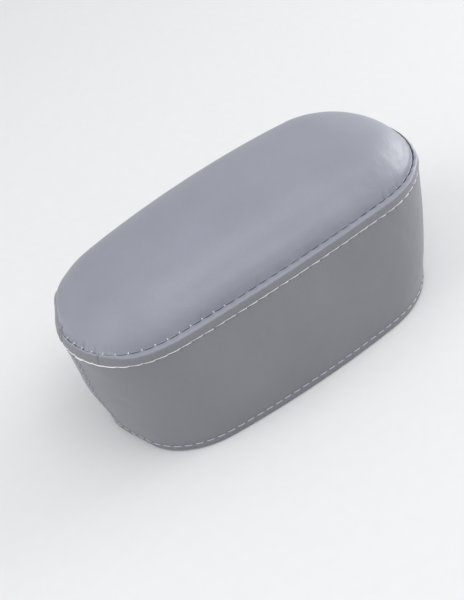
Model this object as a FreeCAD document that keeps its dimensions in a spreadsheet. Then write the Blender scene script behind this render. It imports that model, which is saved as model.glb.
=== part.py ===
import FreeCAD, Part
import math
import os

import Sketcher
from FreeCAD import Placement, Rotation, Vector

# Upholstered armrest pad: a plywood board, a foam block and a crowned foam pad, wrapped in
# leathercloth that is sewn round the crown and stapled under the board.
#
# Millimetres. +X runs from the nose to the rear end, +Z is up, and the origin is the centre of
# the underside, where the pad sits on the arm.
#
# Every plan outline of the pad is an oval of four tangent arcs: a nose arc, a rear arc and two
# long side arcs. The oval changes from the foot to the shoulder, where the topstitching runs,
# and from there over the rolled band to the top seam. Each layer is that oval set further in.

DIMENSIONS = (
    ("pad_length", 240.0, "overall, at the shoulder"),
    ("seam_height", 82.0, "underside to top seam"),
    ("band_height", 6.8, "shoulder to top seam"),
    ("crown_height", 30.4, "top seam to the highest point"),
    ("crown_power", 2.3, "roundness of the crown across its width"),
    ("crown_fullness", 0.6, "steepness of the crown beside the seam"),
    ("crown_end_lean", 1.9, "how much further the crown's ends draw in than its sides"),
    ("side_bulge", 3.6, "outward bow of the side walls at mid height"),
    ("band_bulge", 0.8, "outward roll of the band"),
    ("foot_half_width", 58.5, "half width at the underside"),
    ("foot_nose_setback", 10.8, "nose end, in from the shoulder's nose end"),
    ("foot_rear_setback", 13.2, "rear end, in from the shoulder's rear end"),
    ("foot_nose_radius", 52.7, ""),
    ("foot_rear_radius", 57.7, ""),
    ("shoulder_half_width", 55.3, "half width at the topstitching"),
    ("shoulder_nose_radius", 51.4, ""),
    ("shoulder_rear_radius", 54.5, ""),
    ("seam_half_width", 52.2, "half width at the top seam"),
    ("seam_nose_setback", 1.9, ""),
    ("seam_rear_setback", 2.8, ""),
    ("seam_nose_radius", 48.6, ""),
    ("seam_rear_radius", 51.4, ""),
    ("dust_cover_thickness", 0.5, "non-woven sheet, its face is the underside of the pad"),
    ("dust_cover_inset", 7.0, ""),
    ("dust_cover_hole_radius", 7.0, ""),
    ("rim_height", 0.5, "lowest edge of the cover"),
    ("rim_width", 4.5, "rolled rim left round the underside"),
    ("rim_round", 1.6, "outer corner of the rim"),
    ("cover_thickness", 1.2, "leathercloth with its backing"),
    ("hem_bottom", 1.6, "underside of the turned-in hem"),
    ("hem_width", 21.0, "turned-in hem, from the edge"),
    ("tack_strip_thickness", 0.6, ""),
    ("tack_strip_inset", 8.0, ""),
    ("tack_strip_width", 11.0, ""),
    ("board_thickness", 12.0, "plywood"),
    ("board_edge_round", 2.0, ""),
    ("wall_lining", 4.2, "board and core edge behind the cover's inside"),
    ("lining_gap", 0.1, "clearance between layers"),
    ("crown_wadding_thickness", 3.0, ""),
    ("skirt_depth", 5.4, "top panel's seam allowance, behind the band"),
    ("tape_thickness", 0.6, ""),
    ("bolt_spacing_long", 120.0, "between bolt centres, along the pad"),
    ("bolt_spacing_across", 44.0, "between bolt centres, across the pad"),
    ("nut_hole_radius", 4.0, ""),
    ("nut_barrel_radius", 3.85, ""),
    ("nut_barrel_length", 9.0, ""),
    ("nut_bore_radius", 2.5, "M6 thread, minor radius"),
    ("nut_flange_radius", 9.5, ""),
    ("nut_flange_thickness", 1.5, ""),
    ("nut_prong_length", 6.0, ""),
    ("nut_prong_width", 2.6, ""),
    ("nut_prong_thickness", 1.2, ""),
    ("nut_prong_edge", 0.4, "flange left outside each prong"),
    ("nut_pocket_radius", 11.5, "relief in the foam over each nut"),
    ("nut_pocket_depth", 3.0, ""),
    ("staple_crown", 12.8, ""),
    ("staple_leg", 8.0, ""),
    ("staple_width", 0.95, ""),
    ("staple_gauge", 0.5, ""),
    ("cover_staple_inset", 15.0, ""),
    ("cover_staple_count", 26, ""),
    ("dust_staple_inset", 11.0, ""),
    ("dust_staple_count", 14, ""),
    ("thread_radius", 0.45, ""),
    ("seam_stitch_pitch", 7.1, ""),
    ("seam_stitch_length", 2.4, ""),
    ("seam_stitch_stand_off", 1.25, "centre of the stitch, out from the groove of the seam"),
    ("topstitch_pitch", 7.1, ""),
    ("topstitch_length", 6.5, ""),
    ("hem_stitch_pitch", 6.3, ""),
    ("hem_stitch_length", 4.6, ""),
    ("hem_stitch_height", 4.9, ""),
    ("nose_stitch_pitch", 4.6, ""),
    ("nose_stitch_length", 3.4, ""),
    ("nose_stitch_start", 9.0, ""),
)

SHEET = "Dimensions"
CROWN_STATIONS = (0.0, 0.055, 0.15, 0.3, 0.5, 0.8)
RIM_TURN_SHARE = 0.3
NUT_SIDES = ((1, 1), (-1, 1), (-1, -1), (1, -1))
PRONG_ANGLES = (45, 135, 225, 315)
STEPS_PER_STATION = 8
STRAIGHTEST_SIDE = 1000
SOLVER_TOLERANCE = 1e-9
LEVEL_TOLERANCE = 1e-4
NOSE, LOWER_SIDE, REAR, UPPER_SIDE = range(4)
START, END, CENTRE = 1, 2, 3
ORIGIN = (-1, 1)
X_AXIS = -1


# ---- the sheet of dimensions --------------------------------------------------------------

def make_sheet(document):
    """Puts every driving dimension into the spreadsheet under its alias."""
    sheet = document.addObject("Spreadsheet::Sheet", SHEET)
    for row, (alias, value, note) in enumerate(DIMENSIONS, start=1):
        sheet.set(f"A{row}", alias.replace("_", " "))
        sheet.set(f"B{row}", str(value))
        sheet.setAlias(f"B{row}", alias)
        sheet.set(f"C{row}", note)
    document.recompute()
    return sheet


def ref(alias):
    """Expression that reads a dimension from the sheet."""
    return f"{SHEET}.{alias}"


def number(sheet, expression):
    """Present value of an expression."""
    return float(sheet.evalExpression(str(expression)))


# ---- the pad's outlines -------------------------------------------------------------------

SHOULDER_HEIGHT = f"({ref('seam_height')} - {ref('band_height')})"
BOARD_BOTTOM = f"({ref('hem_bottom')} + {ref('cover_thickness')})"
BOARD_TOP = f"({BOARD_BOTTOM} + {ref('board_thickness')})"
RIM_TOP = f"({ref('rim_height')} + {ref('rim_round')})"
LINING_INSET = f"({ref('cover_thickness')} + {ref('wall_lining')} + {ref('lining_gap')})"


class Oval:
    """Expressions for a four-arc oval: its two ends, half width, end radii and height."""

    def __init__(self, nose, rear, half_width, nose_radius, rear_radius, height):
        self.nose = nose
        self.rear = rear
        self.half_width = half_width
        self.nose_radius = nose_radius
        self.rear_radius = rear_radius
        self.height = height

    def inset(self, distance):
        """The same oval set in by a distance all round."""
        return Oval(
            f"({self.nose} - ({distance}))",
            f"({self.rear} - ({distance}))",
            f"({self.half_width} - ({distance}))",
            f"({self.nose_radius} - ({distance}))",
            f"({self.rear_radius} - ({distance}))",
            self.height,
        )

    def at(self, height):
        """The same oval at another height."""
        return Oval(
            self.nose, self.rear, self.half_width, self.nose_radius, self.rear_radius, height
        )


def foot_oval():
    """Outline at the underside. The ends are distances from the origin."""
    half_length = f"{ref('pad_length')} / 2"
    return Oval(
        f"({half_length} - {ref('foot_nose_setback')})",
        f"({half_length} - {ref('foot_rear_setback')})",
        ref("foot_half_width"),
        ref("foot_nose_radius"),
        ref("foot_rear_radius"),
        ref("rim_height"),
    )


def shoulder_oval():
    """Outline at the topstitching, the longest one."""
    return Oval(
        f"({ref('pad_length')} / 2)",
        f"({ref('pad_length')} / 2)",
        ref("shoulder_half_width"),
        ref("shoulder_nose_radius"),
        ref("shoulder_rear_radius"),
        SHOULDER_HEIGHT,
    )


def seam_oval():
    """Outline of the top seam, where the crown panel meets the band."""
    return Oval(
        f"({ref('pad_length')} / 2 - {ref('seam_nose_setback')})",
        f"({ref('pad_length')} / 2 - {ref('seam_rear_setback')})",
        ref("seam_half_width"),
        ref("seam_nose_radius"),
        ref("seam_rear_radius"),
        ref("seam_height"),
    )


def mix(low, high, share, height, bulge="0"):
    """Oval part way between two others, bowed outwards at its sides."""

    def between(name):
        a, b = getattr(low, name), getattr(high, name)
        return f"({a} + ({b} - {a}) * ({share}))"

    return Oval(
        between("nose"),
        between("rear"),
        f"({between('half_width')} + ({bulge}) * 4 * ({share}) * (1 - ({share})))",
        between("nose_radius"),
        between("rear_radius"),
        height,
    )


def wall_oval(height):
    """Outline of the side wall at a height between the foot and the shoulder."""
    share = f"(({height}) / {SHOULDER_HEIGHT})"
    return mix(foot_oval(), shoulder_oval(), share, height, ref("side_bulge"))


def wall_sections(bottom, inset="0"):
    """Ovals that carry a wall layer from a height up to the shoulder."""
    middle = f"(({bottom} + {SHOULDER_HEIGHT}) / 2)"
    heights = (bottom, middle, SHOULDER_HEIGHT)
    return [wall_oval(height).inset(inset) for height in heights]


def rim_sections():
    """Ovals that carry the cover's rounded lower edge up to the foot of the wall."""
    rise = ref("rim_round")
    turned_in = wall_oval(ref("rim_height")).inset(rise)
    turn = f"{RIM_TURN_SHARE} * {rise}"
    turning = wall_oval(f"({ref('rim_height')} + {turn})").inset(turn)
    return [turned_in, turning, wall_oval(RIM_TOP)]


def band_sections(inset="0"):
    """Ovals that carry the rolled band from the shoulder to the top seam."""
    middle = f"({SHOULDER_HEIGHT} + {ref('band_height')} / 2)"
    rolled = mix(shoulder_oval(), seam_oval(), "0.5", middle).inset(f"-{ref('band_bulge')}")
    return [oval.inset(inset) for oval in (shoulder_oval(), rolled, seam_oval())]


def skirt_sections(inset):
    """Ovals that carry a layer behind the band up to the top seam."""
    bottom = f"({ref('seam_height')} - {ref('skirt_depth')})"
    share = f"(({bottom} - {SHOULDER_HEIGHT}) / {ref('band_height')})"
    lowest = mix(shoulder_oval(), seam_oval(), share, bottom)
    return [lowest.inset(inset), seam_oval().inset(inset)]


def crown_oval(share, depth, height):
    """Outline of the crown part way in from the seam, set in by a fading depth."""
    seam = seam_oval()
    across = f"({share} * {ref('seam_half_width')})"
    fading = f"({depth}) * (1 - {share})"
    end_inset = f"({ref('crown_end_lean')} * {across} + {fading})"
    half_width = f"({seam.half_width} - {across} - {fading})"
    ratio = f"({half_width} / {seam.half_width})"
    return Oval(
        f"({seam.nose} - {end_inset})",
        f"({seam.rear} - {end_inset})",
        half_width,
        f"({seam.nose_radius} * {ratio})",
        f"({seam.rear_radius} * {ratio})",
        height,
    )


def crown_sections(depth="0", foot=ref("seam_height")):
    """Ovals of the crown, set down and in by a depth, starting at a foot height."""
    sections = [crown_oval(CROWN_STATIONS[0], depth, foot)]
    for share in CROWN_STATIONS[1:]:
        rise = (
            f"{ref('crown_height')} * (1 - (1 - {share}) ^ {ref('crown_power')})"
            f" ^ {ref('crown_fullness')}"
        )
        height = f"({ref('seam_height')} + {rise} - ({depth}))"
        sections.append(crown_oval(share, depth, height))
    return sections


# ---- oval geometry ------------------------------------------------------------------------

def side_arc(length, half_width, nose_radius, rear_radius):
    """Radius of the side arc, and how far its centre is behind the nose arc's centre."""

    def reach(radius):
        slack = 2 * radius - half_width
        front = math.sqrt((half_width - nose_radius) * (slack - nose_radius))
        back = math.sqrt((half_width - rear_radius) * (slack - rear_radius))
        return front, front + back

    low, high = half_width, half_width * STRAIGHTEST_SIDE
    while high - low > SOLVER_TOLERANCE * high:
        radius = (low + high) / 2
        if reach(radius)[1] < length:
            low = radius
        else:
            high = radius
    return high, reach(high)[0]


def oval_arcs(sheet, oval):
    """The oval's four arcs and its side arcs' radius and centre, as numbers."""
    nose_radius = number(sheet, oval.nose_radius)
    rear_radius = number(sheet, oval.rear_radius)
    half_width = number(sheet, oval.half_width)
    nose_centre = Vector(nose_radius - number(sheet, oval.nose), 0, 0)
    rear_centre = Vector(number(sheet, oval.rear) - rear_radius, 0, 0)
    radius, back = side_arc(
        rear_centre.x - nose_centre.x, half_width, nose_radius, rear_radius
    )
    drop = radius - half_width
    upper_centre = Vector(nose_centre.x + back, -drop, 0)
    lower_centre = Vector(nose_centre.x + back, drop, 0)
    nose_angle = math.atan2(drop, nose_centre.x - upper_centre.x)
    rear_angle = math.atan2(drop, rear_centre.x - upper_centre.x)
    full = 2 * math.pi

    def arc(centre, arc_radius, start, end):
        return Part.ArcOfCircle(Part.Circle(centre, Vector(0, 0, 1), arc_radius), start, end)

    arcs = [
        arc(nose_centre, nose_radius, nose_angle, full - nose_angle),
        arc(lower_centre, radius, full - nose_angle, full - rear_angle),
        arc(rear_centre, rear_radius, -rear_angle, rear_angle),
        arc(upper_centre, radius, rear_angle, nose_angle),
    ]
    apex = Vector(upper_centre.x, half_width, 0)
    return arcs, Part.LineSegment(upper_centre, apex)


def oval_wire(sheet, oval):
    """The oval as a wire at its own height."""
    arcs, _ = oval_arcs(sheet, oval)
    wire = Part.Wire([arc.toShape() for arc in arcs])
    wire.translate(Vector(0, 0, number(sheet, oval.height)))
    return wire


def draw_oval(sketch, sheet, oval, prefix):
    """Adds a fully constrained oval to a sketch, with its sizes bound to the sheet."""
    arcs, radius_line = oval_arcs(sheet, oval)
    first = sketch.addGeometry(arcs, False)[0]
    line = sketch.addGeometry(radius_line, True)
    nose, lower, rear, upper = (first + k for k in (NOSE, LOWER_SIDE, REAR, UPPER_SIDE))
    ring = (nose, lower, rear, upper)
    for this, following in zip(ring, ring[1:] + ring[:1]):
        sketch.addConstraint(Sketcher.Constraint("Tangent", this, END, following, START))
    sketch.addConstraint(Sketcher.Constraint("PointOnObject", nose, CENTRE, X_AXIS))
    sketch.addConstraint(Sketcher.Constraint("PointOnObject", rear, CENTRE, X_AXIS))
    sketch.addConstraint(Sketcher.Constraint("Equal", lower, upper))
    sketch.addConstraint(Sketcher.Constraint("Coincident", line, START, upper, CENTRE))
    sketch.addConstraint(Sketcher.Constraint("Vertical", line))
    sketch.addConstraint(Sketcher.Constraint("PointOnObject", line, END, upper))
    sizes = (
        ("nose_radius", ("Radius", nose), oval.nose_radius),
        ("rear_radius", ("Radius", rear), oval.rear_radius),
        ("nose_centre", ("DistanceX", nose, CENTRE, *ORIGIN), f"{oval.nose} - {oval.nose_radius}"),
        ("rear_centre", ("DistanceX", *ORIGIN, rear, CENTRE), f"{oval.rear} - {oval.rear_radius}"),
        ("half_width", ("DistanceY", *ORIGIN, line, END), oval.half_width),
    )
    for name, where, expression in sizes:
        add_size(sketch, sheet, prefix + name, where, expression)


def add_size(sketch, sheet, name, where, expression):
    """Adds one dimension to a sketch and binds it to an expression."""
    constraint = Sketcher.Constraint(*where, number(sheet, expression))
    sketch.renameConstraint(sketch.addConstraint(constraint), name)
    sketch.setExpression(f"Constraints.{name}", expression)


# ---- bodies and features ------------------------------------------------------------------

def new_body(document, label):
    """An empty body with the label that names its file."""
    body = document.addObject("PartDesign::Body", label)
    body.Label = label
    return body


def new_sketch(body, name, height):
    """Sketch parallel to the body's XY plane at a height."""
    sketch = body.newObject("Sketcher::SketchObject", name)
    plane = next(f for f in body.Origin.OriginFeatures if f.Role == "XY_Plane")
    sketch.AttachmentSupport = [(plane, "")]
    sketch.MapMode = "FlatFace"
    sketch.setExpression("AttachmentOffset.Base.z", height)
    return sketch


def oval_sketch(body, sheet, name, ovals):
    """Sketch that holds one or two ovals at the first one's height."""
    sketch = new_sketch(body, name, ovals[0].height)
    for index, oval in enumerate(ovals):
        draw_oval(sketch, sheet, oval, f"oval{index}_")
    return sketch


def pad(body, sheet, name, ovals, thickness):
    """Pad up from the first oval's height. A second oval makes it a ring."""
    feature = body.newObject("PartDesign::Pad", name)
    feature.Profile = oval_sketch(body, sheet, name + "Sketch", ovals)
    feature.setExpression("Length", thickness)
    return feature


def pocket_up(body, feature_name, profile, depth):
    """Pocket that cuts upwards from its sketch."""
    feature = body.newObject("PartDesign::Pocket", feature_name)
    feature.Profile = profile
    feature.setExpression("Length", depth)
    feature.Reversed = True
    return feature


def oval_pocket(body, sheet, name, oval, depth):
    """Oval opening cut upwards from the oval's height."""
    return pocket_up(body, name, oval_sketch(body, sheet, name + "Sketch", [oval]), depth)


def loft(body, sheet, name, ovals, cut=False):
    """Loft through ovals, added to the body or cut from it."""
    kind = "PartDesign::SubtractiveLoft" if cut else "PartDesign::AdditiveLoft"
    sketches = [
        oval_sketch(body, sheet, f"{name}Section{index}", [oval])
        for index, oval in enumerate(ovals)
    ]
    feature = body.newObject(kind, name)
    feature.Profile = sketches[0]
    feature.Sections = sketches[1:]
    return feature


def loft_ring(document, body, sheet, name, outside, inside):
    """Thin ring between two lofts that span the same height."""
    loft(body, sheet, name + "Outside", outside)
    document.recompute()
    loft(body, sheet, name + "Inside", inside, cut=True)


def bolt_circles(body, sheet, name, radius, height):
    """Sketch of four circles on the bolt pattern."""
    sketch = new_sketch(body, name, height)
    long_half = f"{ref('bolt_spacing_long')} / 2"
    across_half = f"{ref('bolt_spacing_across')} / 2"
    for index, (side_x, side_y) in enumerate(NUT_SIDES):
        centre = Vector(
            side_x * number(sheet, long_half), side_y * number(sheet, across_half), 0
        )
        circle = sketch.addGeometry(
            Part.Circle(centre, Vector(0, 0, 1), number(sheet, radius)), False
        )
        along = (*ORIGIN, circle, CENTRE) if side_x > 0 else (circle, CENTRE, *ORIGIN)
        across = (*ORIGIN, circle, CENTRE) if side_y > 0 else (circle, CENTRE, *ORIGIN)
        add_size(sketch, sheet, f"along{index}", ("DistanceX", *along), long_half)
        add_size(sketch, sheet, f"across{index}", ("DistanceY", *across), across_half)
        add_size(sketch, sheet, f"radius{index}", ("Radius", circle), radius)
    return sketch


def round_edges(body, name, base, radius, sheet, height):
    """Fillet on the edges of a feature that lie at a height."""
    level = number(sheet, height)

    def is_level(edge):
        box = edge.BoundBox
        return max(abs(box.ZMin - level), abs(box.ZMax - level)) < LEVEL_TOLERANCE

    edges = [
        f"Edge{index}"
        for index, edge in enumerate(base.Shape.Edges, start=1)
        if is_level(edge)
    ]
    feature = body.newObject("PartDesign::Fillet", name)
    feature.Base = (base, edges)
    feature.setExpression("Radius", radius)
    return feature


def cut_with(document, label, base, tool):
    """Sub-part that is a body with the room for its fasteners cut out."""
    cut = document.addObject("Part::Cut", label)
    cut.Label = label
    cut.Base = base
    cut.Tool = tool
    return cut


# ---- sub-parts ----------------------------------------------------------------------------

def nut_cylinder(document, name, centre, radius, bottom, height):
    """Upright cylinder of a nut, placed by expressions."""
    solid = document.addObject("Part::Cylinder", name)
    solid.setExpression("Radius", radius)
    solid.setExpression("Height", height)
    solid.setExpression("Placement.Base.x", centre[0])
    solid.setExpression("Placement.Base.y", centre[1])
    solid.setExpression("Placement.Base.z", bottom)
    return solid


def nut_prong(document, name, centre, angle):
    """Prong under a nut's flange, square to the radius at an angle."""
    thickness = ref("nut_prong_thickness")
    reach = f"({ref('nut_flange_radius')} - {thickness} - {ref('nut_prong_edge')})"
    sideways = f"{ref('nut_prong_width')} / 2"
    cosine, sine = f"cos({angle} deg)", f"sin({angle} deg)"
    solid = document.addObject("Part::Box", name)
    solid.setExpression("Length", thickness)
    solid.setExpression("Width", ref("nut_prong_width"))
    solid.setExpression("Height", ref("nut_prong_length"))
    solid.Placement = Placement(Vector(), Rotation(Vector(0, 0, 1), angle))
    solid.setExpression(
        "Placement.Base.x", f"{centre[0]} + {reach} * {cosine} + {sideways} * {sine}"
    )
    solid.setExpression(
        "Placement.Base.y", f"{centre[1]} + {reach} * {sine} - {sideways} * {cosine}"
    )
    solid.setExpression("Placement.Base.z", f"{BOARD_TOP} - {ref('nut_prong_length')}")
    return solid


def make_tee_nut(document, name, centre):
    """One pronged M6 tee nut, its flange on the board's foam side."""
    barrel_bottom = f"{BOARD_TOP} - {ref('nut_barrel_length')}"
    flange = ref("nut_flange_thickness")
    full_height = f"{ref('nut_barrel_length')} + {flange}"
    blank = document.addObject("Part::MultiFuse", f"{name}Blank")
    blank.Shapes = [
        nut_cylinder(
            document, f"{name}Flange", centre, ref("nut_flange_radius"), BOARD_TOP, flange
        ),
        nut_cylinder(
            document, f"{name}Barrel", centre, ref("nut_barrel_radius"), barrel_bottom, full_height
        ),
    ] + [nut_prong(document, f"{name}Prong{angle}", centre, angle) for angle in PRONG_ANGLES]
    nut = document.addObject("Part::Cut", name)
    nut.Base = blank
    nut.Tool = nut_cylinder(
        document, f"{name}Bore", centre, ref("nut_bore_radius"), barrel_bottom, full_height
    )
    return nut


def make_tee_nuts(document):
    """Four tee nuts on the bolt pattern, driven into the board from its foam side."""
    group = document.addObject("Part::Compound", "tee_nuts")
    group.Label = "tee_nuts"
    group.Links = [
        make_tee_nut(
            document,
            f"Nut{index}",
            (
                f"{side_x} * {ref('bolt_spacing_long')} / 2",
                f"{side_y} * {ref('bolt_spacing_across')} / 2",
            ),
        )
        for index, (side_x, side_y) in enumerate(NUT_SIDES)
    ]
    return group


def staple_shape(sheet):
    """One wire staple with its crown at the origin, along X, and its legs upwards."""
    crown, leg, width, gauge = (
        number(sheet, ref(name))
        for name in ("staple_crown", "staple_leg", "staple_width", "staple_gauge")
    )
    bar = Part.makeBox(crown, width, gauge, Vector(-crown / 2, -width / 2, 0))
    legs = [
        Part.makeBox(gauge, width, leg, Vector(x, -width / 2, 0))
        for x in (-crown / 2, crown / 2 - gauge)
    ]
    return bar.fuse(legs).removeSplitter()


def stations(sheet, oval, count, phase=0.0):
    """Evenly spaced points on an oval with the unit tangent and outward normal at each."""
    wire = oval_wire(sheet, oval)
    points = wire.discretize(Number=count * STEPS_PER_STATION + 1)[:-1]
    shift = round(phase * STEPS_PER_STATION)
    found = []
    for index in range(shift, len(points), STEPS_PER_STATION):
        tangent = points[(index + 1) % len(points)] - points[index - 1]
        tangent.normalize()
        outward = tangent.cross(Vector(0, 0, 1))
        if outward.dot(Vector(0, points[index].y, 0)) < 0:
            outward = -outward
        found.append((points[index], tangent, outward))
    return found


def make_staples(document, sheet, label, inset, bottom, count, phase):
    """A ring of staples under the board, crowns along the edge."""
    oval = foot_oval().inset(inset).at(bottom)
    shape = staple_shape(sheet)
    placed = []
    for point, tangent, _ in stations(sheet, oval, int(number(sheet, count)), phase):
        staple = shape.copy()
        staple.Placement = Placement(point, Rotation(Vector(1, 0, 0), tangent))
        placed.append(staple)
    return add_group(document, label, placed)


def add_group(document, label, shapes):
    """Sub-part made of several like solids."""
    group = document.addObject("Part::Feature", label)
    group.Label = label
    group.Shape = Part.makeCompound(shapes)
    group.Placement = Placement()
    return group


def make_base_board(document, sheet, fasteners):
    """Plywood board with four nut holes and a rounded upper edge."""
    body = new_body(document, "BoardBlank")
    outline = wall_oval(BOARD_BOTTOM).inset(LINING_INSET)
    slab = pad(body, sheet, "Slab", [outline], ref("board_thickness"))
    document.recompute()
    round_edges(body, "UpperEdge", slab, ref("board_edge_round"), sheet, BOARD_TOP)
    holes = bolt_circles(body, sheet, "NutHoles", ref("nut_hole_radius"), BOARD_BOTTOM)
    pocket_up(body, "NutHolePockets", holes, ref("board_thickness"))
    return cut_with(document, "base_board", body, fasteners)


def make_foam_core(document, sheet):
    """Firm foam block from the board to the shoulder, relieved over the nuts."""
    body = new_body(document, "foam_core")
    bottom = wall_oval(BOARD_TOP).inset(LINING_INSET)
    middle_height = f"(({BOARD_TOP} + {SHOULDER_HEIGHT}) / 2)"
    middle = wall_oval(middle_height).inset(LINING_INSET)
    top = shoulder_oval().inset(LINING_INSET)
    loft(body, sheet, "Block", [bottom, middle, top])
    document.recompute()
    relief = bolt_circles(body, sheet, "NutRelief", ref("nut_pocket_radius"), BOARD_TOP)
    pocket_up(body, "NutReliefPockets", relief, ref("nut_pocket_depth"))
    return body


def make_foam_topper(document, sheet):
    """Softer crowned foam pad on top of the core."""
    body = new_body(document, "foam_topper")
    layers = f"{ref('cover_thickness')} + {ref('crown_wadding_thickness')}"
    depth = f"({layers} + 2 * {ref('lining_gap')})"
    sections = crown_sections(depth, f"({ref('seam_height')} + {ref('cover_thickness')})")
    loft(body, sheet, "Plinth", [shoulder_oval().inset(LINING_INSET), sections[0]])
    loft(body, sheet, "Crown", sections)
    return body


def make_top_wadding(document, sheet):
    """Polyester wadding over the crowned foam."""
    body = new_body(document, "top_wadding")
    foot = f"({ref('seam_height')} + {ref('cover_thickness')})"
    outside = f"({ref('cover_thickness')} + {ref('lining_gap')})"
    inside = f"({outside} + {ref('crown_wadding_thickness')})"
    loft(body, sheet, "Outside", crown_sections(outside, foot))
    document.recompute()
    loft(body, sheet, "Inside", crown_sections(inside, foot), cut=True)
    return body


def make_side_wadding(document, sheet):
    """Thin foam wrap round the board and core, behind the side cover."""
    body = new_body(document, "side_wadding")
    bottom = f"({BOARD_BOTTOM} + {ref('lining_gap')})"
    outside = f"({ref('cover_thickness')} + {ref('lining_gap')})"
    inside = f"({LINING_INSET} - {ref('lining_gap')})"
    loft(body, sheet, "Outside", wall_sections(bottom, outside))
    document.recompute()
    loft(body, sheet, "Inside", wall_sections(bottom, inside), cut=True)
    return body


def make_top_cover(document, sheet):
    """Crowned leathercloth panel whose sewn edge turns down behind the band."""
    body = new_body(document, "top_cover")
    thickness = ref("cover_thickness")
    turn_inset = f"({thickness} + {ref('lining_gap')})"
    skirt_inset = f"({turn_inset} + {thickness})"
    loft(body, sheet, "Outside", crown_sections())
    document.recompute()
    rim_top = f"({ref('seam_height')} + {thickness})"
    loft(body, sheet, "Inside", crown_sections(thickness, rim_top), cut=True)
    document.recompute()
    oval_pocket(body, sheet, "RimOpening", seam_oval().inset(skirt_inset), thickness)
    outside, inside = skirt_sections(turn_inset), skirt_sections(skirt_inset)
    loft_ring(document, body, sheet, "Skirt", outside, inside)
    return body


def make_seam_tape(document, sheet):
    """Narrow tape sewn in behind the top seam."""
    body = new_body(document, "seam_tape")
    outside = f"(2 * {ref('cover_thickness')} + 2 * {ref('lining_gap')})"
    inside = f"({outside} + {ref('tape_thickness')})"
    loft_ring(document, body, sheet, "Ring", skirt_sections(outside), skirt_sections(inside))
    return body


def make_side_cover(document, sheet, fasteners):
    """Boxing strip: side wall, rolled band above it and hem turned under the board."""
    body = new_body(document, "SideCoverBlank")
    thickness = ref("cover_thickness")
    loft(body, sheet, "Rim", rim_sections())
    loft(body, sheet, "Wall", wall_sections(RIM_TOP))
    loft(body, sheet, "Band", band_sections())
    document.recompute()
    loft(body, sheet, "WallInside", wall_sections(BOARD_BOTTOM, thickness), cut=True)
    loft(body, sheet, "BandInside", band_sections(thickness), cut=True)
    recess = foot_oval().inset(ref("rim_width"))
    oval_pocket(body, sheet, "Recess", recess, f"{ref('hem_bottom')} - {ref('rim_height')}")
    opening = foot_oval().inset(ref("hem_width")).at(ref("hem_bottom"))
    oval_pocket(body, sheet, "HemOpening", opening, thickness)
    return cut_with(document, "side_cover", body, fasteners)


def make_tack_strip(document, sheet, fasteners):
    """Card strip over the turned-in hem, under the staples' crowns."""
    body = new_body(document, "TackStripBlank")
    bottom = f"({ref('hem_bottom')} - {ref('tack_strip_thickness')})"
    inner = f"({ref('tack_strip_inset')} + {ref('tack_strip_width')})"
    ring = [
        foot_oval().inset(ref("tack_strip_inset")).at(bottom),
        foot_oval().inset(inner).at(bottom),
    ]
    pad(body, sheet, "Ring", ring, ref("tack_strip_thickness"))
    return cut_with(document, "tack_strip", body, fasteners)


def make_dust_cover(document, sheet, fasteners):
    """Black non-woven sheet over the underside, open at the four bolts."""
    body = new_body(document, "DustCoverBlank")
    outline = foot_oval().inset(ref("dust_cover_inset")).at("0")
    pad(body, sheet, "Sheet", [outline], ref("dust_cover_thickness"))
    document.recompute()
    holes = bolt_circles(body, sheet, "BoltHoles", ref("dust_cover_hole_radius"), "0")
    pocket_up(body, "BoltHolePockets", holes, ref("dust_cover_thickness"))
    return cut_with(document, "dust_cover", body, fasteners)


def stitch(sheet, point, direction, length):
    """Straight run of thread centred on a point."""
    start = point - direction * (length / 2)
    return Part.makeCylinder(number(sheet, ref("thread_radius")), length, start, direction)


def make_stitch_ring(document, sheet, label, oval, pitch, length):
    """Stitches end to end round an oval, lying on the cover."""
    proud = number(sheet, ref("thread_radius")) + number(sheet, ref("lining_gap"))
    count = round(oval_wire(sheet, oval).Length / number(sheet, ref(pitch)))
    run = number(sheet, ref(length))
    stitches = [
        stitch(sheet, point + outward * proud, tangent, run)
        for point, tangent, outward in stations(sheet, oval, count)
    ]
    return add_group(document, label, stitches)


def make_seam_stitches(document, sheet):
    """Upright stitches that bridge the groove between the crown panel and the band."""
    count = round(
        oval_wire(sheet, seam_oval()).Length / number(sheet, ref("seam_stitch_pitch"))
    )
    proud = number(sheet, ref("seam_stitch_stand_off"))
    run = number(sheet, ref("seam_stitch_length"))
    upwards = Vector(0, 0, 1)
    stitches = [
        stitch(sheet, point + outward * proud, upwards, run)
        for point, _, outward in stations(sheet, seam_oval(), count)
    ]
    return add_group(document, "seam_thread", stitches)


def make_nose_stitches(document, sheet):
    """Upright row down the nose, where the boxing strip's ends are joined."""
    proud = number(sheet, ref("thread_radius")) + number(sheet, ref("lining_gap"))
    foot = Vector(-number(sheet, foot_oval().nose), 0, 0)
    top = Vector(-number(sheet, shoulder_oval().nose), 0, number(sheet, SHOULDER_HEIGHT))
    slope = (top - foot).normalize()
    outward = Vector(-slope.z, 0, slope.x)
    pitch = number(sheet, ref("nose_stitch_pitch"))
    start = number(sheet, ref("nose_stitch_start"))
    count = int(((top - foot).Length - start) / pitch)
    length = number(sheet, ref("nose_stitch_length"))
    stitches = [
        stitch(sheet, foot + slope * (start + pitch * k) + outward * proud, slope, length)
        for k in range(count)
    ]
    return add_group(document, "nose_seam_thread", stitches)


def make_threads(document, sheet):
    """The four visible rows of stitching."""
    hem_oval = wall_oval(ref("hem_stitch_height"))
    rows = (
        ("topstitch_thread", shoulder_oval(), "topstitch_pitch", "topstitch_length"),
        ("hem_thread", hem_oval, "hem_stitch_pitch", "hem_stitch_length"),
    )
    return [
        make_seam_stitches(document, sheet),
        *(make_stitch_ring(document, sheet, *row) for row in rows),
        make_nose_stitches(document, sheet),
    ]


# ---- assembly -----------------------------------------------------------------------------

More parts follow.
